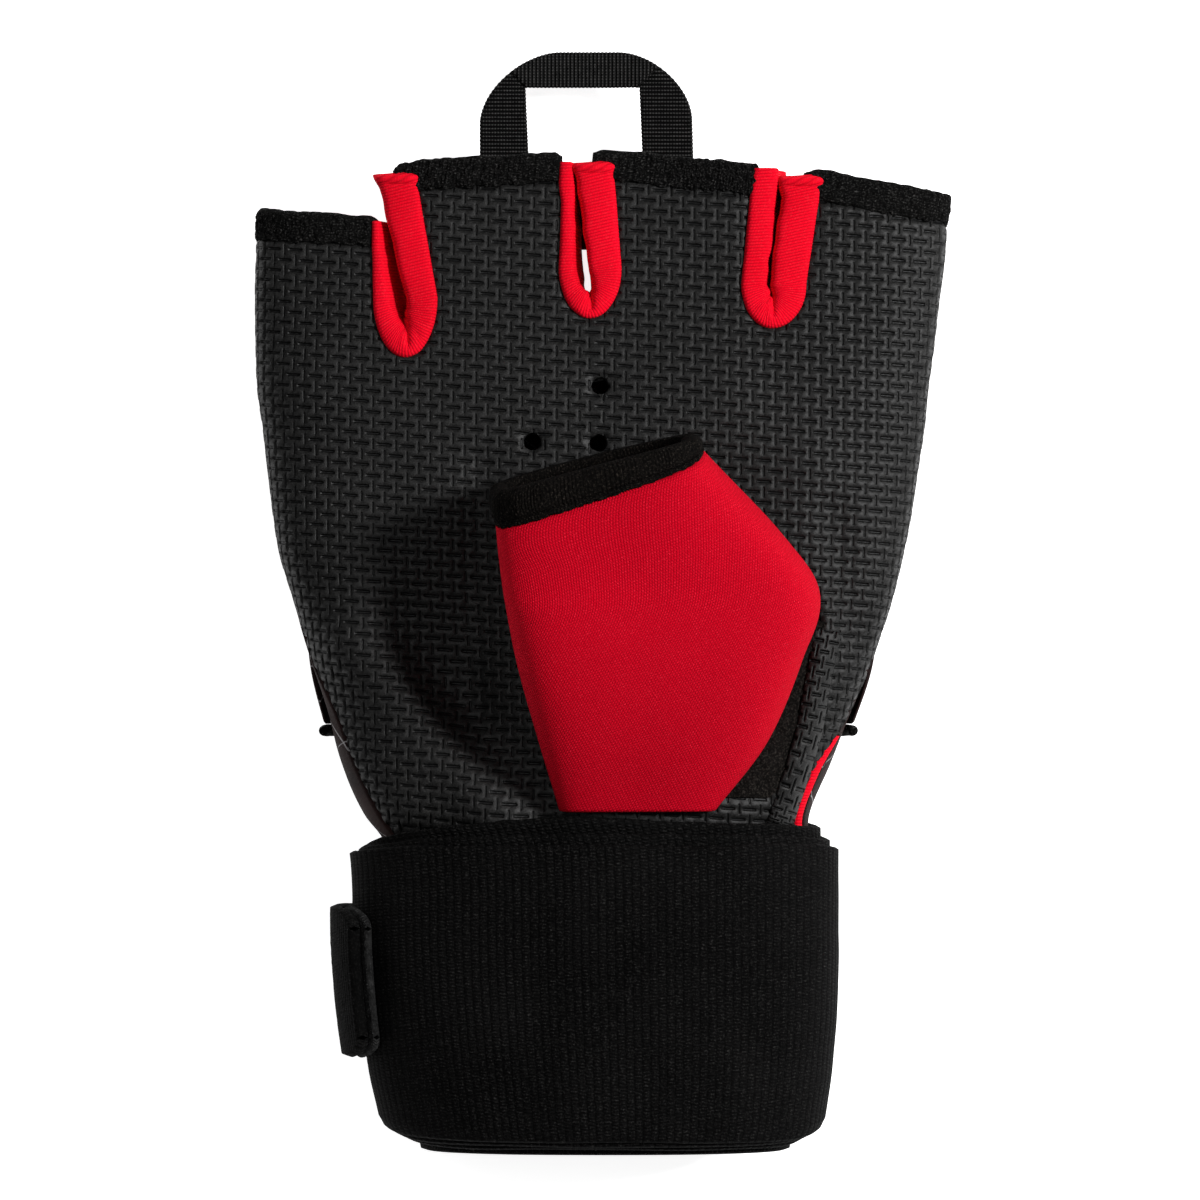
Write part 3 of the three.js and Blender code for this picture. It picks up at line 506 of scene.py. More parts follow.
def slot_bend(slot, steps):
    """Places round the crotch of a slot from side to side, and the cosines and sines of their turns."""
    turns = np.pi + np.pi * np.linspace(0, 1, steps + 1)
    cosine, sine = np.cos(turns), np.sin(turns)
    half_left = slot["crotch_x"] - slot["side_left"]
    half_right = slot["side_right"] - slot["crotch_x"]
    x = slot["crotch_x"] + np.where(cosine < 0, half_left, half_right) * cosine
    y = slot["shoulder"] + (slot["shoulder"] - slot["crotch_y"]) * sine
    return x, y, cosine, sine


def slot_outline(slot):
    x, y = slot_bend(slot, 24)[:2]
    return [
        (slot["top_left"], ABOVE_FINGERS),
        (slot["top_left"], slot["top_left_y"]),
        *zip(x, y, strict=True),
        (slot["top_right"], slot["top_right_y"]),
        (slot["top_right"], ABOVE_FINGERS),
    ]


def above_hems():
    drop = HEM_HEIGHT + 2 * GAP
    places = [(-BESIDE_HAND, BEYOND_FINGERS), (-BESIDE_HAND, FINGERS[0]["left_y"] - drop)]
    for finger in FINGERS:
        places.append((finger["left_x"] - GAP, finger["left_y"] - drop))
        places.append((finger["right_x"] + GAP, finger["right_y"] - drop))
    places.append((BESIDE_HAND, FINGERS[-1]["right_y"] - drop))
    places.append((BESIDE_HAND, BEYOND_FINGERS))
    return places


def vent_outline(vent, radius):
    return [(vent[0] + radius * math.cos(t), vent[1] + radius * math.sin(t)) for t in round_angles(20)]


def section_angles(across, y):
    """Angles of the sections at y whose way round the skin from the line x = 0 is across."""
    stations = np.linspace(-44, 84, 65)
    angles = np.radians(np.linspace(-50, 230, 561))
    sections = hand_point(stations[:, None], angles[None, :])
    lengths = travel(sections)
    found = np.zeros_like(across)
    for k in range(len(stations) - 1):
        rows = (y >= stations[k]) & (y < stations[k + 1])
        t = (y[rows] - stations[k]) / (stations[k + 1] - stations[k])
        pair = []
        for n in (k, k + 1):
            centre = np.interp(0, -sections[n, :, 0], lengths[n])
            pair.append(np.interp(-across[rows], lengths[n] - centre, angles))
        found[rows] = mix(pair[0], pair[1], t)
    return found


def groove(along, across, mark):
    """1 on the line of one embossed mark, falling to 0 beside it."""
    beside = fade(1.9 * mark["half_width"], 0.35 * mark["half_width"], np.abs(across))
    ends = fade(1.12 * mark["half_length"], 0.75 * mark["half_length"], np.abs(along))
    return beside * ends


def mark_offsets(i, j, shift):
    """Lattice steps from the nearest mark of one kind, which sit on every second place of each row."""
    row = np.round(j)
    place = 2 * np.round((i - row - shift) / 2) + row + shift
    return i - place, j - row


def emboss(across, along):
    """Depth share of the embossed marks at places on the flat cloth."""
    i = across / MARK_ACROSS
    j = along / MARK_ALONG
    dash_i, dash_j = mark_offsets(i, j, 0)
    tick_j, tick_i = mark_offsets(j, i, 1)
    dash = groove(dash_i * MARK_ACROSS, dash_j * MARK_ALONG, DASH)
    tick = groove(tick_j * MARK_ALONG, tick_i * MARK_ACROSS, TICK)
    return np.maximum(dash, 0.9 * tick)


def mark_lines(reach, pitch, near):
    """Grid lines at each mark's middle, beside it and halfway to the next."""
    places = [k * pitch + step for k in range(-reach, reach) for step in (-near, 0, near, pitch / 2)]
    return np.array(places)


def cut_out(places, quads, outline):
    """The quads that aren't inside an outline, and which places are inside it and which still used."""
    within = inside(places, outline)
    quads = quads[~within[quads].all(axis=1)]
    used = np.zeros(len(places), bool)
    used[quads.ravel()] = True
    return quads, within, used


def cut_cloth(across, along, inset, outlines):
    """Grid of one face of a panel in the flat cloth's own coordinates, cut to its outlines.

    Returns the points, the quads that are left, the weave and how far each point is from a cut.
    """
    a, b = np.meshgrid(across, along)
    rows, columns = a.shape
    y = b - ROWS_FALL * a
    angle = section_angles(a.ravel(), y.ravel())
    y = y.ravel()
    quads = grid_quads(rows, columns)
    for values, low, high in ((y, PANEL_END, 200), (angle, *seams(y))):
        out = (values < low) | (values > high)
        quads = quads[~out[quads].all(axis=1)]
        np.clip(values, low, high, out=values)
    skin = hand_point(y, angle, inset)
    plan = skin[:, :2].copy()
    distance = np.full(len(plan), 50.0)
    for outline in outlines:
        quads, within, used = cut_out(plan, quads, outline)
        feet, away = nearest_on(plan[used], outline)
        distance[used] = np.minimum(distance[used], np.where(within[used], 0, away))
        plan[used] = np.where(within[used][:, None], feet, plan[used])
    moved = np.any(np.abs(plan - skin[:, :2]) > 1e-6, axis=1)
    level = moved & (np.abs(np.cos(angle)) < 0.985)
    facing = np.where(np.sin(angle) < 0, -1, 1)
    angle = np.where(level, facing * angle_at(plan[:, 0], plan[:, 1]), angle)
    points = hand_point(np.where(moved, plan[:, 1], y), angle, inset)
    return points, quads, stack(a.ravel(), b.ravel()), distance


def point_normals(points, quads):
    """Unit normals at the points of a mesh of quads."""
    a, b, c, d = (points[quads[:, k]] for k in range(4))
    face = np.cross(c - a, d - b)
    normals = np.zeros_like(points)
    for k in range(4):
        np.add.at(normals, quads[:, k], face)
    return unit(normals)


def with_rim(points, quads, weave, depth, normals):
    """Adds a wall along the open edges of a skin, turned in by depth."""
    edges = stack(quads, np.roll(quads, -1, axis=1)).reshape(-1, 2)
    key = np.sort(edges, axis=1)
    _, first, counts = np.unique(key, axis=0, return_index=True, return_counts=True)
    open_edges = edges[first[counts == 1]]
    rim = np.unique(open_edges)
    number = np.full(len(points), -1)
    number[rim] = np.arange(len(rim))
    parts = [points]
    places = [weave]
    walls = []
    last = rim
    total = len(points)
    for share in (0.3, 1.0):
        line = total + np.arange(len(rim))
        total += len(rim)
        parts.append(points[rim] - normals[rim] * depth * share)
        places.append(weave[rim])
        a, b = number[open_edges[:, 0]], number[open_edges[:, 1]]
        walls.append(np.stack((last[b], last[a], line[a], line[b]), axis=1))
        last = line
    return np.concatenate(parts), np.concatenate((quads, *walls)), np.concatenate(places)


def join_skins(*skins):
    """One mesh from several (points, quads, weave)."""
    points, quads, weave = zip(*skins, strict=True)
    starts = np.cumsum([0, *map(len, points)])
    quads = [part + start for part, start in zip(quads, starts[:-1], strict=True)]
    return tuple(map(np.concatenate, (points, quads, weave)))


def facing_out(points, quads, middle):
    """Turns the quads so that they face away from a middle point."""
    a, b, c, d = (points[quads[:, k]] for k in range(4))
    normal = np.cross(c - a, d - b)
    centre = (a + b + c + d) / 4
    return quads if np.sum(normal * (centre - middle)) > 0 else quads[:, ::-1]


# Creases and swells of the worn palm: a line in plan, how wide they are and how far they rise
PALM_FOLDS = (
    {"from": (-41.0, -8.0), "to": (-17.0, -36.5), "width": 5.0, "rise": 1.9},
    {"from": (-34.0, -4.0), "to": (-11.0, -31.0), "width": 5.0, "rise": -1.5},
    {"from": (-20.0, 22.0), "to": (-21.5, -18.0), "width": 3.0, "rise": -0.7},
    {"from": (38.0, 14.0), "to": (41.5, -6.0), "width": 3.0, "rise": -0.6},
    {"from": (-46.0, 44.0), "to": (-50.0, 8.0), "width": 6.0, "rise": 0.5},
    {"from": (14.0, 40.0), "to": (34.0, 20.0), "width": 8.0, "rise": 0.5},
)


def palm_folds(x, y):
    rise = 0.35 * soft_noise(x, y, 17, 3) + 0.15 * soft_noise(x, y, 7, 4)
    for fold in PALM_FOLDS:
        start = np.array(fold["from"])
        along = np.array(fold["to"]) - start
        t = np.clip(((x - start[0]) * along[0] + (y - start[1]) * along[1]) / (along @ along), 0, 1)
        away = np.hypot(x - start[0] - t * along[0], y - start[1] - t * along[1])
        rise = rise + fold["rise"] * np.exp(-((away / fold["width"]) ** 2))
    return rise


def make_palm(material):
    cuts = [above_hems(), THUMB_HOLE, *map(slot_outline, SLOTS)]
    outlines = cuts + [vent_outline(vent, VENT_RADIUS) for vent in VENTS]
    across = mark_lines(40, MARK_ACROSS, 0.3)
    along = mark_lines(50, MARK_ALONG, 0.27)
    points, quads, weave, distance = cut_cloth(across, along, 0, outlines)
    quads = facing_out(points, quads, PALM_MIDDLE)
    normals = point_normals(points, quads)
    edge = fade(0, 3.5, distance)
    rise = palm_folds(points[:, 0], points[:, 1]) * edge
    rise -= 0.6 * (1 - fade(0, 1.1, distance))
    pads = 0.1 * np.abs(np.cos(np.pi * weave[:, 0] / MARK_ACROSS))
    rise += (pads - MARK_DEPTH * emboss(weave[:, 0], weave[:, 1])) * fade(0.1, 0.9, distance)
    points = points + normals * rise[:, None]
    outer = with_rim(points, quads, weave, PALM_WALL - 0.6, normals)
    inner_across = np.arange(-74, 75, 1.6)
    inner_along = np.arange(-48, 80, 1.6)
    cuts += [vent_outline(vent, VENT_INNER_RADIUS) for vent in VENTS]
    skin = cut_cloth(inner_across, inner_along, PALM_WALL, cuts)
    inner = (skin[0], facing_out(skin[0], skin[1], PALM_MIDDLE)[:, ::-1], skin[2])
    add_piece("palm", *join_skins(outer, inner), material, "palm_rubber", ["palm_panel"])


def make_back(material):
    outlines = [above_hems(), *map(slot_outline, SLOTS)]
    rows, columns = 120, 120
    along, across = grid(rows, columns)
    y = mix(PANEL_END, ABOVE_FINGERS - 3, along)
    end, start = seams(y, SEAM_CLEAR)
    angle = mix(start, 2 * np.pi + end, across)
    gusset = gusset_outline(GAP)
    faces = []
    for inset in (0, BACK_WALL):
        skin = hand_point(y, angle, inset)
        length = travel(skin)
        weave = stack(length - length[:, columns // 2, None], y).reshape(-1, 2)
        points = skin.reshape(-1, 3)
        quads = grid_quads(rows, columns)
        plan = points[:, :2].copy()
        for outline in outlines:
            quads, within, used = cut_out(plan, quads, outline)
            edge = used & within
            plan[edge] = nearest_on(plan[edge], outline)[0]
        moved = np.any(np.abs(plan - points[:, :2]) > 1e-6, axis=1)
        height = hand_height(plan[:, 0], plan[:, 1], inset, -1)
        points = np.column_stack((plan, np.where(moved, height, points[:, 2])))
        place = np.column_stack((np.degrees(angle.ravel()), y.ravel()))
        quads, within, used = cut_out(place, quads, gusset)
        edge = used & within
        place[edge] = nearest_on(place[edge], gusset)[0]
        points[edge] = hand_point(place[edge, 1], np.radians(place[edge, 0]), inset)
        quads = facing_out(points, quads, BACK_MIDDLE)
        if inset == 0:
            fold = 0.25 * soft_noise(weave[:, 0], weave[:, 1], 14, 9)
            normals = point_normals(points, quads)
            points = points + normals * fold[:, None]
            faces.append(with_rim(points, quads, weave, BACK_WALL - 0.1, normals))
        else:
            faces.append((points, quads[:, ::-1], weave))
    add_piece("back", *join_skins(*faces), material, "back_print", ["back_panel"])


def gusset_outline(grow):
    """Outline of the side gusset in degrees round the hand and millimetres along it."""
    ys = np.linspace(PANEL_END - 3, GUSSET_TOP + grow, 12)
    top = 360 + hand(ys, "seam_right") - SEAM_CLEAR
    turn = 5 * grow
    upper = list(zip(top + 6, ys, strict=True))
    lower = list(zip(top - GUSSET_SPAN - turn, ys, strict=True))
    return upper + lower[::-1]


def make_gusset(material):
    along, t = grid(24, 24)
    ys = mix(PANEL_END - 0.6, GUSSET_TOP, along)
    top = hand(ys, "seam_right") - SEAM_CLEAR
    angle = np.radians(mix(top, top - GUSSET_SPAN, t))
    swell = 0.15 * np.sin(np.pi * t) + 0.1 * soft_noise(ys, t * 3, 3.5, 5)
    outer = hand_point(ys, angle, -swell)
    inner = hand_point(ys, angle, BACK_WALL - 0.3)
    skin = shell(outer, inner, stack(ys, t * 2.2), bulge=0.2)
    add_piece("gusset", *skin, material, "gusset_red", ["side_gusset"])


def knuckle_thickness(along, across):
    return PAD_EDGE + PAD_SWELL * np.sqrt(hump(mix(*PAD_ARC, along))) * hump(across) ** 0.7


def pad_edges(y):
    climb = np.clip((PAD_CLIMB_FROM - y) / (PAD_CLIMB_FROM - PAD_BOTTOM), 0, 1)
    under = np.radians(mix(PAD_UNDER, -PAD_SIDE, climb))
    return np.pi + under, 2 * np.pi - under


def make_pad(material):
    """Padded back over the knuckles: crowned, and flat where it rests."""
    along, across = grid(72, 96)
    y = mix(PAD_BOTTOM, PAD_TOP, along)
    start, end = pad_edges(y)
    reference = np.linspace(0, 1, 400)
    section = hand_point(15, mix(np.radians(205), np.radians(335), reference))
    length = travel(section)
    share = np.interp(across, length / length[-1], reference)
    angle = mix(start, end, share)
    inner = hand_point(y, angle, -SEAT)
    swollen = hand_point(y, angle, -SEAT - knuckle_thickness(along, across))
    climb = fade(PAD_CLIMB_FROM, PAD_BOTTOM, y)
    edge = hand_point(y, angle, -SEAT - PAD_EDGE * mix(1, 0.35, climb))
    soft = 0.35 * soft_noise(across * 100, y, 15, 21) * hump(across) * hump(along)
    height = swollen[..., 2] + soft
    height = np.where(height < 0.6, 0.6 * np.exp((height - 0.6) / 0.9), height)
    outer = stack(edge[..., 0], y, height)
    weave = stack(across * 112, y)
    skin = shell(outer, inner, weave, bulge=0.5)
    pad = add_piece("pad", *skin, material, "back_print", ["knuckle_pad"])


def make_pad_hem(material):
    """Rolled hem on the pad's lower edge, thinner towards its ends."""
    steps, sides = 120, 16
    y = PAD_BOTTOM - PAD_HEM_RADIUS - GAP
    start, end = pad_edges(y)
    share, turn = np.meshgrid(np.linspace(0, 1, steps), round_angles(sides), indexing="ij")
    angle = mix(start, end, share)
    taper = mix(PAD_HEM_TAPER, 1, np.sqrt(np.sin(np.pi * share)))
    radius = PAD_HEM_RADIUS * taper * (1 + 0.06 * soft_noise(share * 110, turn, 2.4, 31))
    inset = -SEAT - PAD_HEM_RADIUS * taper - radius * np.cos(turn)
    point = hand_point(y, angle, inset)
    rings = stack(point[..., 0], y + radius * np.sin(turn), point[..., 2])
    weave = stack(turn * radius, share * 110)
    add_piece("pad_roll", *tube(rings, weave), material, "hem_knit", ["pad_hem"])


def slot_path(slot):
    """Points down one side of a slot, round its crotch and up the other: way in, width and slope."""
    left_width = mix(slot["left_top"], slot["left_foot"], SIDE_STEPS)
    slope = mix(slot["slope_top"], slot["slope_foot"], SIDE_STEPS)
    x = mix(slot["top_left"], slot["side_left"], SIDE_STEPS)
    y = mix(slot["top_left_y"], slot["shoulder"], SIDE_STEPS)
    down = np.column_stack((x, y, 0 * x + 1, 0 * x, left_width, slope))[:-1]
    x, y, cosine, sine = slot_bend(slot, 32)
    foot = np.where(cosine < 0, slot["left_foot"], slot["right_foot"])
    width = mix(foot, slot["crotch"], np.abs(sine) ** 1.5)
    bend = np.column_stack((x, y, -cosine, -sine, width, 0 * x + slot["slope_foot"]))
    x = mix(slot["side_right"], slot["top_right"], SIDE_STEPS)
    y = mix(slot["shoulder"], slot["top_right_y"], SIDE_STEPS)
    right_width = mix(slot["right_foot"], slot["right_top"], SIDE_STEPS)
    up = np.column_stack((x, y, 0 * x - 1, 0 * x, right_width, 0 * x + slot["slope_foot"]))[1:]
    return np.vstack((down, bend, up))


# Sections of the red gusset from the palm edge to the back edge, on the little-finger side of a slot,
# at its crotch and on the thumb side: how far into the slot as a share of the strip's width, then as a
# share of the slope, the height in millimetres and the share of the way down to the back
GUSSET_LEFT = (
    (0.0, 0.0, -1.2, 0.0), (0.02, 0.0, -0.3, 0.0), (0.09, 0.0, 0.06, 0.0), (0.35, 0.0, 0.2, 0.0),
    (0.7, 0.0, 0.18, 0.0), (0.94, 0.0, -0.04, 0.0), (1.0, 0.1, -0.5, 0.01), (1.0, 0.38, -1.2, 0.07),
    (1.0, 0.75, -1.6, 0.2), (1.0, 1.0, -1.4, 0.4), (1.0, 0.95, -0.9, 0.62), (0.8, 0.6, 0.2, 0.8),
    (0.5, 0.2, 0.9, 0.94), (0.1, 0.0, 1.5, 1.0),
)
GUSSET_CROTCH = (
    (0.0, 0.0, -1.2, 0.0), (0.02, 0.0, -0.3, 0.0), (0.1, 0.0, 0.08, 0.0), (0.3, 0.0, 0.3, 0.0),
    (0.55, 0.0, 0.26, 0.0), (0.78, 0.0, -0.1, 0.0), (0.92, 0.0, -0.9, 0.02), (1.0, 0.0, -1.8, 0.08),
    (1.0, 0.05, -2.2, 0.2), (1.0, 0.05, -1.6, 0.42), (0.92, 0.0, -0.6, 0.66), (0.72, 0.0, 0.6, 0.84),
    (0.4, 0.0, 1.2, 0.95), (0.1, 0.0, 1.6, 1.0),
)
GUSSET_RIGHT = (
    (0.0, 0.0, -1.2, 0.0), (0.015, 0.0, -0.3, 0.0), (0.05, 0.0, 0.08, 0.0), (0.2, 0.0, 0.26, 0.0),
    (0.5, 0.0, 0.32, 0.0), (0.78, 0.0, 0.26, 0.0), (0.93, 0.0, 0.02, 0.0), (0.99, 0.0, -0.6, 0.01),
    (1.0, 0.0, -1.6, 0.05), (0.97, 0.0, -2.0, 0.2), (0.85, 0.0, -1.0, 0.55), (0.62, 0.0, 0.3, 0.8),
    (0.35, 0.0, 1.0, 0.94), (0.1, 0.0, 1.6, 1.0),
)


def make_fourchette(slot, material, seed):
    """Ribbed knit strip down one side of a slot, round its crotch and up the other."""
    path = slot_path(slot)
    fine = np.linspace(0, len(GUSSET_LEFT) - 1, 46)
    left, crotch, right = (smooth_rows(rows, 46) for rows in (GUSSET_LEFT, GUSSET_CROTCH, GUSSET_RIGHT))
    lengths = travel(path[:, :2])
    even = np.linspace(0, lengths[-1], 460)
    path = resample(path, lengths, even)
    x, y, in_x, in_y, width, slope = (path[:, k, None] for k in range(6))
    size = np.hypot(in_x, in_y)
    in_x, in_y = in_x / size, in_y / size
    along = even[:, None]
    bottom = fade(0.05, 1.0, in_y)[..., None]
    first_side = along < even[-1] / 2
    side = np.where(first_side[..., None], left, right)
    section = side * (1 - bottom) + crotch * bottom
    share, further, lift, down = (section[..., k] for k in range(4))
    # Wrinkles, gathered at the crotch and calmer on the walls
    gather = np.exp(-(((along - even[-1] / 2 + 1.0) / 4.0) ** 2))
    round_it = fine * 0.5
    on_top = np.clip(1 - down * 12, 0, 1)
    wrinkle = soft_noise(along, round_it, 1.5, seed) * (0.05 + 0.5 * gather)
    wrinkle = wrinkle + 0.2 * soft_noise(along, round_it * 0.6, 4.5, seed + 1)
    wrinkle = wrinkle * mix(0.35, 1, on_top)
    # The strip's last end: a small hem that flares and dips
    to_end = even[-1] - along
    hem = fade(1.7, 0.9, to_end) * on_top * hump(fade(0.0, 1.0, share)) ** 0.3
    flare = fade(2.4, 0.3, to_end) * (share - 0.5) * 1.1
    dip = fade(0.9, 0.0, to_end) * on_top
    further = further * mix(1, slot["deep"], fade(0.2, 0.5, down))
    uneven = slot["wavy"] * soft_noise(along, 0, 2.2, seed + 2) * fade(0.4, 1, share)
    tuck = -slot["tuck"] * (1 - share) * fade(7.0, 3.6, np.minimum(along, to_end)) * first_side
    reach = width * share + slope * further + wrinkle * hump(fine / fine[-1]) + flare + uneven + tuck
    px = x + in_x * reach
    py = y + in_y * reach + 0.7 * hem * (0.4 - share) * fade(1.2, 0, to_end)
    high = hand_height(px, py, 0, 1)
    low = hand_height(px, py, 0, -1)
    slant = along + 0.25 * reach * np.where(first_side, 0.3, 1.0)
    ribs = 0.04 * np.cos(2 * np.pi * slant / GUSSET_RIB)
    pz = mix(high, low, down) + lift + 0.3 * wrinkle + 0.6 * hem - 1.1 * dip
    # A pinch in the middle of the crotch
    pinch = np.exp(-(((px - slot["crotch_x"] - 0.4) / 0.5) ** 2)) * bottom[..., 0] ** 3
    pz = pz - 0.9 * pinch * fade(0.15, 0.5, share) * on_top
    smooth = stack(px, py, pz)
    normal = grid_normals(smooth)
    centre = np.array((slot["crotch_x"], slot["shoulder"] + 8, 16))
    if np.sum(normal * (centre - smooth)) < 0:
        normal = -normal
    outer = smooth + normal * ribs[..., None]
    inner = smooth - normal * GUSSET_THIN
    skin = shell(outer, inner, stack(slant, travel(outer)), bulge=0.1)
    add_piece("slot_" + slot["name"], *skin, material, "gusset_red", ["fourchette_" + slot["name"]])


# Section of a finger hem: share of its height from the lower edge, and how deep it lies below the skin
# as a share of the wall, or above it in millimetres. Its lower edge laps over the panel.
HEM_LAP = 0.95
HEM_RUN = 30
HEM_SECTION = (
    (0.0, 0.06), (0.01, -0.02), (0.05, -0.14), (0.12, -0.22), (0.26, -0.3), (0.4, -0.34), (0.6, -0.4),
    (0.78, -0.4), (0.9, -0.26), (0.97, 0.02), (1.0, 0.2), (1.0, 0.5), (0.96, 0.8), (0.85, 0.95), (0.6, 1.0),
    (0.35, 1.0), (0.22, 0.96), (0.2, 0.6), (0.19, 0.3), (0.1, 0.16),
)


def round_section(section, count):
    """Places round a closed section: how far round, in rows of its table, and each of its columns."""
    closed = np.array((*section, section[0]))
    fine = np.linspace(0, len(section), count + 1)[:-1]
    return fine, *(np.interp(fine, np.arange(len(closed)), column)[None, :] for column in closed.T)


def make_hem(finger, facing, material, seed):
    """Knitted fleecy hem on a finger stall."""
    at = mix(finger["left_y"], finger["right_y"], 0.5)
    seam = np.radians(hand(at, "seam_left") - (0 if facing > 0 else SEAM_CLEAR))
    start = angle_at(finger["left_x"], at, facing)
    end = angle_at(finger["right_x"], at, facing)
    if finger is FINGERS[0]:
        start = np.pi - seam if facing > 0 else -np.pi - seam
    if finger is FINGERS[-1]:
        end = seam
    wall = PALM_WALL if facing > 0 else BACK_WALL
    _, rise, deep = round_section(HEM_SECTION, 60)
    deep = np.where(deep > 0, deep * wall, deep)
    share = np.linspace(0, 1, 200)[:, None]
    angle = mix(start, end, share)
    x_plan = hand_point(at, angle)[..., 0]
    across = np.clip((x_plan - finger["left_x"]) / (finger["right_x"] - finger["left_x"]), 0, 1)
    run = share * HEM_RUN
    wave = 0.2 * soft_noise(run + seed, 0, 4, seed) + 0.12 * soft_noise(run, 0, 0.9, seed + 3)
    corner = 0.7 * (fade(0.8, 0, run) + fade(0.8, 0, HEM_RUN - run))
    edge = mix(finger["left_y"], finger["right_y"], across)
    top = edge + wave - corner
    low = edge - HEM_HEIGHT - HEM_LAP
    low = low + 0.3 * soft_noise(run, 0, 0.7, seed + 5) + 0.3 * soft_noise(run, 0, 2.5, seed + 6)
    y = mix(low, top, rise)
    fleece = 0.2 * soft_noise(run, rise * 5, 0.5, seed + 7) + 0.14 * soft_noise(run, rise * 5, 1.1, seed + 8)
    deep = deep + fleece * (deep < 1)
    rings = hand_point(y, angle, deep)
    weave = stack(run, y)
    name = ("palm_" if facing > 0 else "back_") + finger["name"]
    add_piece("band_" + name, *tube(rings, weave), material, "hem_knit", ["hem_" + name])


def thumb(at, name):
    return smooth_column(THUMB_COLUMNS, THUMB_ROWS, name, at)


def thumb_point(at, turn, inset):
    at, turn, inset = np.broadcast_arrays(np.asarray(at, float), turn, inset)
    left = thumb(at, "left_x")
    right = thumb(at, "right_x")
    crest = mix(left, right, THUMB_CREST)
    cosine, sine = np.cos(turn), np.sin(turn)
    x = crest + np.where(cosine > 0, right - crest, crest - left) * cosine - inset * cosine
    level = mix(thumb(at, "left_z"), thumb(at, "right_z"), (1 + cosine) / 2)
    middle = (thumb(at, "left_z") + thumb(at, "right_z")) / 2
    rise = np.where(sine > 0, thumb(at, "top") - middle, middle - thumb(at, "under"))
    flat = (1 - np.abs(cosine) ** THUMB_FLAT) ** (1 / THUMB_FLAT)
    z = level + rise * np.where(sine > 0, flat, sine) - inset * sine
    share = np.clip((x - left) / (right - left), 0, 1)
    lean = np.where(z > middle, thumb(at, "lean_top"), thumb(at, "lean_under"))
    y = mix(thumb(at, "left_y"), thumb(at, "right_y"), share) + lean * (z - middle)
    return stack(x, y, z)


def make_thumb(material):
    """Jersey stall of the thumb. Where it would be buried it follows the palm, and is left open there."""
    rows, sides = 110, 120
    at, turn = np.meshgrid(np.linspace(0, 1 - BINDING_SHARE, rows), round_angles(sides), indexing="ij")
    base = thumb_point(at, turn, 0)
    x, y = base[..., 0], base[..., 1]
    top = fade(-0.1, 0.5, np.sin(turn))
    fold = 0.3 * soft_noise(x, y, 16, 41) + 0.05 * soft_noise(x, y, 5, 42)
    fold = fold - 0.3 * np.exp(-(((x + 4 + 0.25 * y) / 9) ** 2)) * fade(14, -6, y) * fade(-36, -22, y)
    fold = fold + 0.5 * np.exp(-(((x - 12) / 7) ** 2 + ((y - 6) / 9) ** 2))
    outer = thumb_point(at, turn, -fold * top)
    inner = thumb_point(at, turn, THUMB_WALL)
    for face, clear in ((outer, THUMB_CLEAR), (inner, THUMB_SUNK)):
        floor = hand_height(face[..., 0], face[..., 1], 0) + clear
        buried = (face[..., 2] < floor) & (np.sin(turn) < 0.3)
        face[..., 2] = np.where(buried, floor, face[..., 2])
    # The weave starts at the crest, and faces that rest on the palm are left out
    around = travel(base)
    crest = around[:, sides // 4, None]
    points, quads, weave = shell(outer, inner, stack(around - crest, y), looped=True, bulge=0.2)
    clearance = points[:, 2] - hand_height(points[:, 0], points[:, 1], 0)
    for height in (THUMB_CLEAR, THUMB_SUNK):
        quads = quads[np.abs(clearance[quads] - height).max(axis=1) >= 0.02]
    add_piece("thumb", points, quads, weave, material, "thumb_jersey", ["thumb_stall"])


# Thumb binding: spacing of its ribs, its length in millimetres for each radian round the opening, and
# its section: share of the way to the opening and how far it lies inside the stall
BINDING_RIB = 0.76
BINDING_RUN = 18
BINDING_SECTION = (
    (0.0, 0.5), (0.01, -0.1), (0.08, -0.3), (0.15, -0.25), (0.18, 0.1), (0.23, -0.4),
    (0.36, -0.8), (0.6, -1.0), (0.8, -0.9), (0.94, -0.45), (1.0, 0.3), (1.0, 1.2), (0.92, 1.9),
    (0.7, 2.1), (0.4, 2.0), (0.15, 1.8),
)


def make_binding(material):
    """Knitted binding round the thumb opening: a flat seam strip and a full rolled edge."""
    fine, share, inset = round_section(BINDING_SECTION, 48)
    turns = round_angles(480)[:, None]
    run = turns * BINDING_RUN
    near = fade(-0.35, 0.25, np.sin(turns))
    at = 1 - BINDING_SHARE + 0.002 + (BINDING_SHARE - 0.002) * share * mix(1.16, 0.86, near)
    rough = 0.1 * soft_noise(run, share * 9, 0.5, 51) + 0.2 * soft_noise(run, share * 6, 6, 52)
    lap = fade(0.2, 0.1, share) * (inset < 0.4)
    at = at + 0.0018 * lap * soft_noise(run, 0, 0.8, 53)
    ribs = 0.07 * np.cos(2 * np.pi * run / BINDING_RIB) * (inset < 0.2)
    rings = thumb_point(at, turns, inset - rough - ribs)
    weave = stack(run, fine[None, :] * 0.42)
    skin = tube(rings, weave, joined=True)
    add_piece("thumb_band", *skin, material, "hem_knit", ["thumb_binding"])


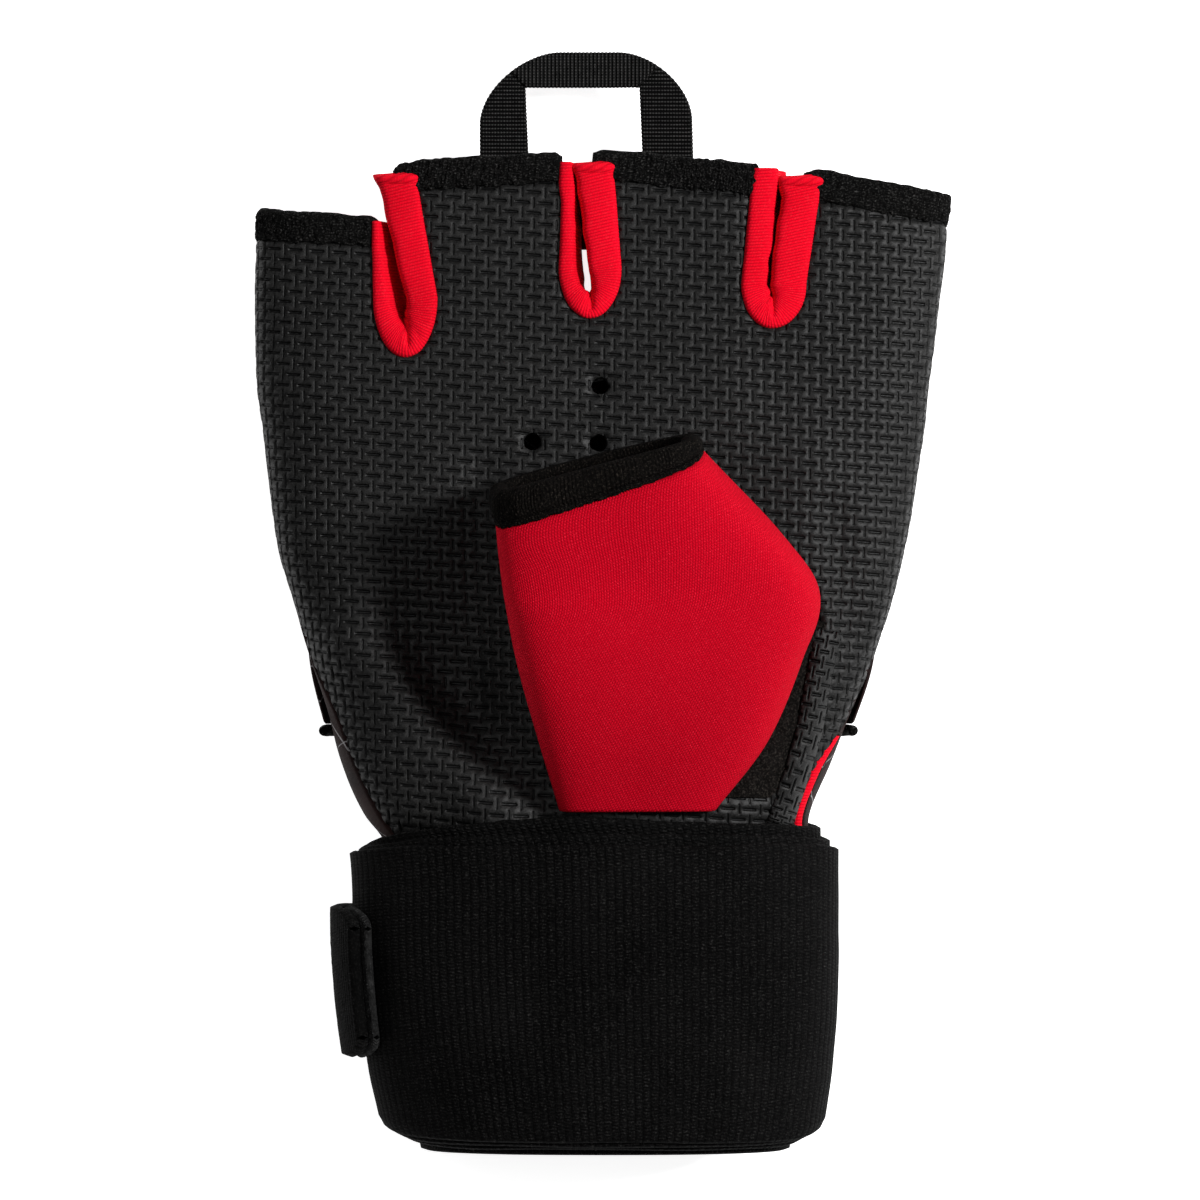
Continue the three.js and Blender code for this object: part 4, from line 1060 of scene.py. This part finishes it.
def make_thumb_root(material):
    rows, columns = 170, 60
    left = smooth_rows(THUMB_ROOT, rows)[:, None]
    right = smooth_rows(THUMB_HOLE[5:9], rows)[:, None]
    share = np.linspace(-0.1, 1.12, columns)[None, :, None]
    plan = mix(left, right, share)
    x, y = plan[..., 0], plan[..., 1]
    dip = 0.5 * hump(share[..., 0]) + 0.35 * soft_noise(x, y, 3.5, 61)
    dip = dip + 0.12 * soft_noise(x, y, 0.6, 62) + 0.1 * soft_noise(x, y, 1.2, 63)
    outer = stack(x, y, hand_height(x, y, 0.2) + dip)
    inner = stack(x, y, hand_height(x, y, 2.0) + dip)
    skin = shell(outer, inner, plan, bulge=0.2)
    add_piece("thumb_strip", *skin, material, "thumb_lining", ["thumb_root"])


def make_palm_edge(material):
    """Turned edge of the palm beside the thumb: an embossed roll."""
    rows, columns = 220, 34
    path = smooth_rows(PALM_EDGE, rows)
    tangent = unit(np.gradient(path, axis=0))
    share = np.linspace(0, 1, columns)
    across = PALM_EDGE_WIDTH * 1.25 * (share - 0.5)
    x = path[:, 0, None] - tangent[:, 1, None] * across
    y = path[:, 1, None] + tangent[:, 0, None] * across
    along = np.linspace(0, PALM_EDGE_RUN, rows)[:, None]
    weave = stack(across * 1.5, along)
    roll = 0.3 + (PALM_EDGE_RISE - 0.3) * hump(share) ** 0.7 + 0.3 * soft_noise(along, across, 4, 71)
    ends = fade(0, 5, along) * fade(0, 4, PALM_EDGE_RUN - along)
    roll = roll * mix(0.2, 1, ends) - 0.34 * emboss(weave[..., 0], weave[..., 1])
    outer = stack(x, y, hand_height(x, y, 0) + roll)
    inner = stack(x, y, hand_height(x, y, 0) - 0.4)
    skin = shell(outer, inner, weave, bulge=0.15)
    add_piece("palm_roll", *skin, material, "palm_rubber", ["palm_edge"])


def wrist_turns(count):
    """Angles of one turn round the wrist, evenly spaced along its section."""
    angles = math.radians(WRAP_START) + np.linspace(0, 2 * np.pi, 721)
    section = hand_point(-60, angles)
    length = travel(section)
    return np.interp(np.arange(count) / count * length[-1], length, angles), length[-1]


def make_cuff(material):
    """Knitted tube inside the wrap, from the ends of the panels to the wrist opening."""
    angles, around = wrist_turns(200)
    ys = np.linspace(PANEL_END - GAP, CUFF_END, 30)
    y, angle = np.meshgrid(ys, angles, indexing="ij")
    rough = 0.08 * soft_noise(angle * 30, y, 6, 81)
    outer, inner = (hand_point(y, angle, inset + rough) for inset in (0, CUFF_WALL))
    weave = np.stack(np.meshgrid(np.arange(200) * around / 200, ys, indexing="xy"), axis=-1)
    skin = shell(outer, inner, weave, looped=True, bulge=0.3)
    add_piece("cuff", *skin, material, "hem_knit", ["wrist_cuff"])


def wrap_layer(angle):
    return (angle - math.radians(WRAP_START)) / (2 * np.pi)


OUTER_LAYER = wrap_layer(math.radians(WRAP_FINISH))


def wrap_point(y, angle, proud, floor):
    """Point of the wrap at a height proud of the cuff. Each layer is flat underneath."""
    above = hand_point(y, angle, -proud)
    below = hand_point(y, angle, -proud - WRAP_SAG)[..., 2]
    z = np.where(np.sin(angle) > 0, above[..., 2], np.maximum(floor + FLOOR_CLEAR, below))
    return stack(above[..., 0], above[..., 1], z)


def make_wrap(material):
    """Elastic band wound round the wrist, with softly uneven edges on each layer."""
    one_turn, around = wrist_turns(WRAP_STEPS)
    numbers = np.arange(round(OUTER_LAYER * WRAP_STEPS) + 1)[:, None]
    angle = one_turn[numbers % WRAP_STEPS] + 2 * np.pi * (numbers // WRAP_STEPS)
    layer = wrap_layer(angle)
    columns = 40
    share = 0.5 - 0.5 * np.cos(np.linspace(0, np.pi, columns))
    share = mix(share, np.linspace(0, 1, columns), 0.6)
    cosine = np.cos(angle)
    run = numbers * around / WRAP_STEPS
    # The band slumps at the sides, its edges are uneven, and the first layers rise over the heel and stay
    # hidden at the little-finger side
    slump = WRAP_SLUMP * np.maximum(0, -cosine) ** 6 + 1.5 * np.maximum(0, cosine) ** 6
    uneven = 0.35 * soft_noise(run, 0, 16, 91) + 0.12 * soft_noise(run, 0, 2.2, 92)
    hill = 1.3 * np.exp(-(((hand_point(-40, angle)[..., 0] + 2) / 15) ** 2)) * np.clip(1.6 - layer, 0, 1)
    hidden = 2.2 * np.maximum(0, -cosine) ** 3 * np.clip(2.2 - layer, 0, 1)
    top = WRAP_TOP - WRAP_TOP_STEP * layer - slump - hidden + uneven + hill * (np.sin(angle) > 0)
    bottom = WRAP_BOTTOM + WRAP_BOTTOM_STEP * layer
    bottom = bottom + 1.2 * np.abs(cosine) ** 14 + 0.25 * soft_noise(run, 0, 12, 93)
    y = mix(top, bottom, share)
    outermost = fade(OUTER_LAYER - 1, OUTER_LAYER - 0.9, layer)
    tuck = 0.5 * fade(1.6, 0, y - bottom) * outermost
    slack = 0.18 * soft_noise(run, y * 0.35, 9, 94) + 0.1 * soft_noise(run, y, 5, 95)
    faces = []
    for face in (WRAP_BAND, 0):
        floor = WRAP_PITCH * (math.floor(OUTER_LAYER) - np.round(layer)) + WRAP_BAND - face
        proud = SEAT + WRAP_PITCH * layer + face
        if face > 0:
            proud = proud - tuck + slack * outermost
        faces.append(wrap_point(y, angle, proud, floor))
    skin = shell(*faces, stack(run, y), bulge=0.35)
    wrap = add_piece("wrap", *skin, material, "wrap_elastic", ["wrist_wrap"])
    length = travel(faces[0][:, columns // 2])[-1]


def closure_grid(proud, start, seed, rough):
    """One face of the closure from its free end on, with rounded corners there."""
    along, across = grid(90, 46)
    angle = np.radians(mix(start, TAB["to"], along))
    corner = np.clip(1 - along / TAB["corner_share"], 0, 1)
    tuck = TAB["corner"] * (1 - np.sqrt(1 - corner**2))
    y = mix(TAB["top"] - tuck, TAB["bottom"] + tuck, across)
    y = y + 0.25 * soft_noise(along * TAB_RUN, across * 3, 7, seed)
    lift = rough * soft_noise(along * TAB_RUN, y, 0.8, seed + 1)
    weave = stack(along * TAB_RUN, y)
    return wrap_point(y, angle, proud + lift, 0), weave


def make_closure(hook_material, strap_material):
    wrap_out = SEAT + WRAP_PITCH * OUTER_LAYER + WRAP_BAND + GAP
    strap_in = wrap_out + TAB["hook"] + GAP
    pieces = (
        ("hook", wrap_out, TAB["hook_from"], hook_material, 0.22, "closure_hook", "closure_hook"),
        ("strap", strap_in, TAB["from"], strap_material, 0.05, "wrap_elastic", "closure_tab"),
    )
    for seed, (name, height, start, material, rough, slot, node) in zip((101, 106), pieces, strict=True):
        outer, weave = closure_grid(height + TAB[name], start, seed, rough)
        inner = closure_grid(height, start, seed, 0)[0]
        add_piece(name, *shell(outer, inner, weave, bulge=0.4), material, slot, [node])


def straight(a, b, t):
    return mix(np.array(a), np.array(b), t)


def bezier(a, b, c, d, t):
    a, b, c, d = (np.array(p, float) for p in (a, b, c, d))
    t = np.asarray(t)[:, None]
    return a * (1 - t) ** 3 + 3 * b * t * (1 - t) ** 2 + 3 * c * t * t * (1 - t) + d * t**3


def make_loop(material):
    """Grosgrain webbing turned into a loop, with its ribs across it."""
    left, right = LOOP["outer_left"], LOOP["outer_right"]
    crown_left, crown_right, crown = LOOP["crown_left"], LOOP["crown_right"], LOOP["crown_y"]
    foot, shoulder, inside_y, lean = LOOP["foot_y"], LOOP["shoulder_y"], LOOP["inner_y"], LOOP["lean"]
    rise = (crown - shoulder) / 2
    leg = np.linspace(0, 1, 60)[:-1, None]
    bend = np.linspace(0, 1, 60)
    top = np.linspace(0, 1, 14)[1:-1, None]
    outer = np.concatenate((
        straight((left, foot), (left, shoulder), leg),
        bezier((left, shoulder), (left + lean, shoulder + rise), (crown_left - rise, crown),
               (crown_left, crown), bend),
        straight((crown_left, crown), (crown_right, crown), top),
        bezier((crown_right, crown), (crown_right + rise, crown), (right - lean, shoulder + rise),
               (right - lean, shoulder), bend),
        straight((right, foot), (right - lean, shoulder), leg)[::-1],
    ))
    up = fade(0, 0.5, bend)[:, None]
    over = fade(0.5, 1, bend)[:, None]
    sides = []
    for side, crown_end in (("inner_left", crown_left), ("inner_right", crown_right)):
        corner = np.array((LOOP[side] - lean, inside_y))
        low_end = np.array((LOOP[side] + lean, foot))
        high_end = mix(corner, low_end, (inside_y - shoulder) / (inside_y - foot))
        turn = mix(high_end, corner, up) + (np.array((crown_end, inside_y)) - corner) * over
        sides.append(np.concatenate((mix(low_end, high_end, leg), turn)))
    across = straight((crown_left, inside_y), (crown_right, inside_y), top)
    inner = np.concatenate((sides[0], across, sides[1][::-1]))
    middle = (outer + inner) / 2
    length = travel(middle)
    even = np.linspace(0, length[-1], 440)
    outer, inner = resample(outer, length, even), resample(inner, length, even)
    faces = np.linspace(0.05, 0.95, 32)
    backs = np.linspace(0.95, 0.05, 10)
    share = np.concatenate((faces, (0.99, 1.0, 0.99), backs, (0.01, 0.0, 0.01)))[None, :]
    level = np.concatenate((np.ones(32), (0.8, 0.0, -0.8), -np.ones(10), (-0.8, 0.0, 0.8)))[None, :]
    plan = mix(outer[:, None], inner[:, None], share[..., None])
    out_way = outer - inner
    width = np.linalg.norm(out_way, axis=1)[:, None]
    across_top = (np.abs(out_way[:, 1]) > np.abs(out_way[:, 0]))[:, None]
    along = np.where(across_top, plan[..., 0], plan[..., 1])
    beside = np.where(across_top, plan[..., 1], plan[..., 0])
    rib = np.cos(2 * np.pi * along / RIB_PITCH)
    bead = np.cos(2 * np.pi * beside / BEAD_PITCH)
    edge = (share - 0.5) * (np.abs(share - 0.5) > 0.485)
    plan = plan + (0.1 * rib * edge / width)[..., None] * (inner - outer)[:, None]
    corners = np.nonzero(np.diff(across_top[:, 0].astype(int)))[0]
    folded = sum(np.exp(-(((even - even[k]) / 0.3) ** 2)) for k in corners)[:, None]
    over = across_top * sum(np.exp(-(((even - even[k]) / 2.5) ** 2)) for k in corners)[:, None]
    thick = WEBBING / 2 * (0.85 + 0.1 * rib + 0.05 * rib * bead)
    sag = 0.5 * soft_noise(even, 0, 18, 111)[:, None]
    z = LOOP["height"] + WEBBING / 2 + level * thick + sag + 0.3 * over - 0.25 * folded
    rings = np.concatenate((plan, z[..., None]), axis=-1)
    weave = stack(beside, along)
    add_piece("loop", *tube(rings, weave), material, "loop_webbing", ["pull_loop"])


class Nodes:
    """Builds one material: nodes are made and joined by short calls."""

    def __init__(self, name):
        self.material = bpy.data.materials.new(name)
        self.material.use_nodes = True
        self.tree = self.material.node_tree
        self.shader = self.tree.nodes["Principled BSDF"]

    def add(self, kind, settings=(), **inputs):
        node = self.tree.nodes.new(kind)
        for key, value in dict(settings).items():
            setattr(node, key, value)
        for key, value in inputs.items():
            self.put(node.inputs[key.replace("_", " ")], value)
        return node

    def put(self, socket, value):
        if isinstance(value, bpy.types.NodeSocket):
            self.tree.links.new(value, socket)
        else:
            socket.default_value = value

    def maths(self, operation, *values):
        node = self.tree.nodes.new("ShaderNodeMath")
        node.operation = operation
        for k, value in enumerate(values):
            self.put(node.inputs[k], value)
        return node.outputs[0]

    def times(self, a, b):
        return self.maths("MULTIPLY", a, b)

    def over(self, a, b):
        return self.maths("DIVIDE", a, b)

    def plus(self, a, b):
        return self.maths("ADD", a, b)

    def minus(self, a, b):
        return self.maths("SUBTRACT", a, b)

    def scaled(self, a, factor, offset):
        return self.maths("MULTIPLY_ADD", a, factor, offset)

    def wave(self, value, pitch):
        """From 0 to 1 and back at every pitch."""
        return self.scaled(self.maths("COSINE", self.times(value, 2 * math.pi / pitch)), 0.5, 0.5)

    def rise(self, value, low, high, top=1):
        """Smooth rise from 0 at low to top at high."""
        node = self.add("ShaderNodeMapRange", {"interpolation_type": "SMOOTHSTEP"}, Value=value,
                        From_Min=low, From_Max=high, To_Min=0, To_Max=top)
        return node.outputs[0]

    def weave(self):
        """The place in the cloth, in millimetres."""
        uv = self.add("ShaderNodeUVMap", {"uv_map": "Weave"})
        split = self.tree.nodes.new("ShaderNodeSeparateXYZ")
        self.tree.links.new(uv.outputs[0], split.inputs[0])
        return [self.maths("MULTIPLY", split.outputs[k], 100.0) for k in range(2)]

    def noise(self, size_mm, detail=3.0, roughness=0.55):
        """Noise from 0 to 1 in the object's own space, with lumps of that size."""
        place = self.tree.nodes.new("ShaderNodeTexCoord").outputs["Object"]
        node = self.add("ShaderNodeTexNoise", Vector=place, Scale=1 / (size_mm * MM), Detail=detail,
                        Roughness=roughness)
        return node.outputs["Fac"]

    def ramp(self, value, stops):
        """Colour from a value, by stops of (place, colour)."""
        node = self.tree.nodes.new("ShaderNodeValToRGB")
        self.tree.links.new(value, node.inputs[0])
        elements = node.color_ramp.elements
        while len(elements) < len(stops):
            elements.new(0.5)
        for element, (place, colour) in zip(elements, stops, strict=True):
            element.position = place
            element.color = (*colour, 1)
        return node.outputs[0]

    def blend(self, share, first, second, kind="MIX"):
        node = self.tree.nodes.new("ShaderNodeMix")
        node.data_type = "RGBA"
        node.blend_type = kind
        self.put(node.inputs["Factor"], share)
        for key, value in (("A", first), ("B", second)):
            socket = [s for s in node.inputs if s.name == key and s.type == "RGBA"][0]
            self.put(socket, value if isinstance(value, bpy.types.NodeSocket) else (*value, 1))
        return [s for s in node.outputs if s.type == "RGBA"][0]

    def bump(self, height, distance_mm, strength):
        node = self.add("ShaderNodeBump", Height=height, Distance=distance_mm * MM, Strength=strength)
        return node.outputs[0]

    def finish(self, colour, roughness, normal, specular):
        self.put(self.shader.inputs["Base Color"], colour)
        self.put(self.shader.inputs["Roughness"], roughness)
        self.tree.links.new(normal, self.shader.inputs["Normal"])
        self.shader.inputs["Specular IOR Level"].default_value = specular
        return self.material


def band(nodes, value, half, soft):
    """1 where the value is within half of 0, falling to 0 over soft."""
    return nodes.rise(nodes.maths("ABSOLUTE", value), half + soft, half)


def mark_nodes(nodes, i, j, shift):
    """The same as mark_offsets, in nodes."""
    row = nodes.maths("ROUND", j)
    half = nodes.maths("ROUND", nodes.times(nodes.minus(nodes.minus(i, row), shift), 0.5))
    place = nodes.plus(nodes.scaled(half, 2.0, row), shift)
    return nodes.minus(i, place), nodes.minus(j, row)


def emboss_nodes(nodes):
    """The embossed marks as a mask, from the same lattice as the mesh."""
    u, v = nodes.weave()
    across = (nodes.over(u, MARK_ACROSS), MARK_ACROSS)
    along = (nodes.over(v, MARK_ALONG), MARK_ALONG)
    masks = []
    for mark, shift, (i, i_pitch), (j, j_pitch) in ((DASH, 0.0, across, along), (TICK, 1.0, along, across)):
        i_step, j_step = mark_nodes(nodes, i, j, shift)
        ends = band(nodes, nodes.times(i_step, i_pitch), *mark["mask_length"])
        line = band(nodes, nodes.times(j_step, j_pitch), *mark["mask_width"])
        masks.append(nodes.times(ends, line))
    return nodes.maths("MAXIMUM", masks[0], nodes.times(masks[1], 0.75))


def rubber_material():
    nodes = Nodes("embossed_rubber")
    marks = emboss_nodes(nodes)
    grain = nodes.noise(0.24, 2.0, 0.7)
    patches = nodes.noise(22, 3.0)
    base = nodes.ramp(patches, [(0.3, (0.0062, 0.0061, 0.0060)), (0.75, (0.0100, 0.0098, 0.0096))])
    speck = nodes.ramp(grain, [(0.4, (0.4, 0.4, 0.4)), (0.7, (2.6, 2.6, 2.6))])
    base = nodes.blend(1.0, base, speck, "MULTIPLY")
    # Painted shade in the embossed marks, and a painted highlight on a thin rim beside them
    wear_and_painted_light = nodes.ramp(marks, [(0.0, (0.95, 0.95, 0.95)), (0.16, (1.4, 1.4, 1.4)), (0.46, (0.1, 0.1, 0.11))])
    colour = nodes.blend(1.0, base, wear_and_painted_light, "MULTIPLY")
    height = nodes.minus(nodes.times(grain, 0.16), marks)
    normal = nodes.bump(height, 0.26, 0.9)
    rough = nodes.scaled(grain, 0.2, 0.4)
    return nodes.finish(colour, rough, normal, specular=0.18)


def knit_height(nodes, u, v, wale, course, slant=0.0, beads=0.38):
    """Height of a knit: ribs along v, wale apart, beaded by stitches a course apart."""
    shifted = nodes.scaled(v, slant, u)
    rib = nodes.maths("ABSOLUTE", nodes.maths("SINE", nodes.times(shifted, math.pi / wale)))
    lag = nodes.times(nodes.maths("FLOOR", nodes.over(shifted, wale)), 1.9)
    phase = nodes.scaled(v, 2 * math.pi / course, lag)
    bead = nodes.scaled(nodes.maths("SINE", phase), beads, 1 - beads)
    return nodes.times(rib, bead)


def knit_material(name, dark, light, wale, course, depth, lint, fleck, specular, slant=0.0, patches=14,
                  contrast=0.5, fleck_size=0.2, beads=0.38):
    """Knitted cloth: stitches in relief with painted shade between them, pale flecks of lint and soft
    patches of wear.
    """
    nodes = Nodes(name)
    u, v = nodes.weave()
    stitch = knit_height(nodes, u, v, wale, course, slant, beads)
    fibre = nodes.noise(fleck_size, 3.0, 0.7)
    wear_and_painted_light = nodes.noise(patches, 4.0)
    base = nodes.ramp(wear_and_painted_light, [(0.32, dark), (0.7, light)])
    # Painted shade between the stitches, and a lighter colour painted on their tops
    painted_stitch_shade = nodes.scaled(stitch, contrast, 1 - 0.6 * contrast)
    grey = nodes.tree.nodes.new("ShaderNodeCombineColor")
    for k in range(3):
        nodes.tree.links.new(painted_stitch_shade, grey.inputs[k])
    colour = nodes.blend(1.0, base, grey.outputs[0], "MULTIPLY")
    share = nodes.times(nodes.rise(fibre, 0.5, 0.72, lint), nodes.scaled(stitch, 0.8, 0.3))
    colour = nodes.blend(share, colour, fleck)
    height = nodes.scaled(fibre, 0.5 * lint, stitch)
    normal = nodes.bump(height, depth, 0.8)
    return nodes.finish(colour, 0.9, normal, specular=specular)


# Knitted cloths: dark and light colour, spacing of the ribs and of the stitches along them, depth of the
# stitches, share of lint, and what differs from the plain knit
KNITS = (
    ("red_gusset_knit", (0.60, 0.0005, 0.0105), (0.76, 0.0009, 0.015), GUSSET_RIB, 0.42, 0.1, 0.45,
     {"contrast": 0.45, "specular": 0.05, "fleck": (0.95, 0.05, 0.07), "beads": 0.14}),
    ("red_jersey", (0.40, 0.0004, 0.0088), (0.47, 0.0006, 0.0108), 0.42, 0.5, 0.13, 0.7,
     {"slant": 0.5, "patches": 60, "contrast": 0.45, "specular": 0.04, "fleck": (0.85, 0.02, 0.05)}),
    ("black_knit", (0.0011, 0.0011, 0.0011), (0.0028, 0.0027, 0.0026), 0.75, 0.5, 0.16, 0.7,
     {"contrast": 0.4, "specular": 0.04, "fleck": (0.075, 0.073, 0.07), "fleck_size": 0.3}),
    ("binding_knit", (0.0009, 0.0008, 0.0007), (0.0024, 0.0020, 0.0018), 0.7, 0.4, 0.14, 0.6,
     {"contrast": 0.7, "specular": 0.04, "fleck": (0.055, 0.046, 0.038), "fleck_size": 0.26}),
    ("wrap_elastic", (0.0010, 0.0010, 0.0010), (0.0036, 0.0035, 0.0035), 1.2, 0.56, 0.26, 0.8,
     {"contrast": 0.95, "specular": 0.04, "fleck": (0.034, 0.033, 0.032), "fleck_size": 0.3}),
    ("hook_pile", (0.002, 0.002, 0.002), (0.016, 0.016, 0.016), 0.5, 0.5, 0.3, 0.9,
     {"patches": 1.6, "specular": 0.1, "fleck": (0.07, 0.07, 0.07), "fleck_size": 0.35}),
)


def print_material():
    """Dark back cloth with thin pale lines that cross at a slant."""
    nodes = Nodes("printed_cloth")
    u, v = nodes.weave()
    warp = nodes.noise(24, 2.0)
    stitch = knit_height(nodes, u, v, 0.5, 0.45)
    wear_and_painted_light = nodes.noise(9, 3.0)
    base = nodes.ramp(wear_and_painted_light, [(0.3, (0.0105, 0.0062, 0.0060)), (0.72, (0.024, 0.0105, 0.0095))])
    lines = None
    for lean, pitch, shift in ((0.62, 15.0, 2.0), (-0.48, 19.0, 6.0)):
        place = nodes.plus(nodes.scaled(u, lean, v), shift)
        place = nodes.plus(place, nodes.times(warp, 4.0))
        turn = nodes.minus(nodes.maths("FRACT", nodes.over(place, pitch)), 0.5)
        line = band(nodes, nodes.times(turn, pitch), 0.07, 0.13)
        lines = line if lines is None else nodes.maths("MAXIMUM", lines, line)
    patchy = nodes.scaled(nodes.noise(3.5, 2.0), 0.9, 0.1)
    share = nodes.times(lines, patchy)
    colour = nodes.blend(share, base, (0.42, 0.41, 0.42))
    normal = nodes.bump(stitch, 0.08, 0.8)
    return nodes.finish(colour, 0.8, normal, specular=0.12)


def webbing_material():
    nodes = Nodes("webbing")
    u, v = nodes.weave()
    height = nodes.times(nodes.wave(v, RIB_PITCH), nodes.scaled(nodes.wave(u, BEAD_PITCH), 0.5, 0.5))
    # The colour follows the relief: painted highlights on the beads of the ribs and painted shade between
    # the ribs
    uneven = nodes.times(height, nodes.scaled(nodes.noise(0.9), 1.0, 0.4))
    colour = nodes.ramp(uneven, [(0.35, (0.0005, 0.0005, 0.0005)), (0.95, (0.045, 0.044, 0.043))])
    normal = nodes.bump(height, 0.14, 0.9)
    return nodes.finish(colour, 0.6, normal, specular=0.06)


def smooth_material():
    """Brushed fleecy cloth at the root of the thumb."""
    nodes = Nodes("smooth_cloth")
    brushed = nodes.noise(0.35, 4.0, 0.7)
    wear_and_painted_light = nodes.noise(6, 2.0)
    base = nodes.ramp(wear_and_painted_light, [(0.3, (0.0014, 0.0012, 0.0011)), (0.75, (0.0045, 0.0038, 0.0034))])
    speck = nodes.ramp(brushed, [(0.5, (0, 0, 0)), (0.7, (1, 1, 1))])
    colour = nodes.blend(speck, base, (0.028, 0.024, 0.021))
    normal = nodes.bump(brushed, 0.2, 0.8)
    return nodes.finish(colour, 0.85, normal, specular=0.04)


def add_floor():
    mesh = bpy.data.meshes.new("floor")
    reach = 3.0
    corners = [(x * reach, y * reach, 0) for x, y in ((-1, -1), (1, -1), (1, 1), (-1, 1))]
    mesh.from_pydata(corners, [], [(0, 1, 2, 3)])
    nodes = Nodes("pale_floor")
    looks = {"Base Color": (0.9, 0.9, 0.9, 1), "Roughness": 0.9, "Emission Color": (1, 1, 1, 1),
             "Emission Strength": 0.85}
    for name, value in looks.items():
        nodes.shader.inputs[name].default_value = value
    mesh.materials.append(nodes.material)
    add_object("floor", mesh)


def add_light(name, place, target, size, power):
    light = bpy.data.lights.new(name, "AREA")
    light.shape = "DISK"
    light.size = size
    light.energy = power
    lamp = add_object(name, light)
    lamp.location = place
    lamp.rotation_euler = (Vector(target) - Vector(place)).to_track_quat("-Z", "Y").to_euler()


def add_camera():
    """Straight above the palm with a long lens: the frame is 200 mm wide at the hand's edges."""
    lens = 200
    sensor = 36
    width = 0.2
    edge_height = 0.018
    data = bpy.data.cameras.new("camera")
    data.lens = lens
    data.sensor_width = sensor
    data.clip_start = 0.1
    data.clip_end = 20
    camera = add_object("camera", data)
    camera.location = (-0.0004, -0.0004, edge_height + width * lens / sensor)
    bpy.context.scene.camera = camera


def add_world():
    world = bpy.data.worlds.new("studio")
    world.use_nodes = True
    background = world.node_tree.nodes["Background"]
    background.inputs["Color"].default_value = (1, 1, 1, 1)
    background.inputs["Strength"].default_value = 0.11
    bpy.context.scene.world = world
    bpy.context.scene.view_settings.view_transform = "Standard"


def main():
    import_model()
    add_world()
    add_camera()
    add_floor()
    add_light("key", (0.84, 0.24, 0.8), (0, 0, 0.02), 0.26, 18.5)
    add_light("fill", (-0.35, 0.2, 1.1), (0, 0, 0.02), 0.6, 3.0)

    rubber = rubber_material()
    knits = {name: knit_material(name, *row, **rest) for name, *row, rest in KNITS}
    red, knit, elastic = knits["red_gusset_knit"], knits["black_knit"], knits["wrap_elastic"]
    printed = print_material()

    make_palm(rubber)
    make_back(printed)
    make_gusset(red)
    make_pad(printed)
    make_pad_hem(knit)
    for k, slot in enumerate(SLOTS):
        make_fourchette(slot, red, 120 + 10 * k)
    for k, finger in enumerate(FINGERS):
        make_hem(finger, 1, knit, 160 + 10 * k)
        make_hem(finger, -1, knit, 200 + 10 * k)
    make_thumb(knits["red_jersey"])
    make_binding(knits["binding_knit"])
    make_thumb_root(smooth_material())
    make_palm_edge(rubber)
    make_cuff(knit)
    make_wrap(elastic)
    make_closure(knits["hook_pile"], elastic)
    make_loop(webbing_material())


main()
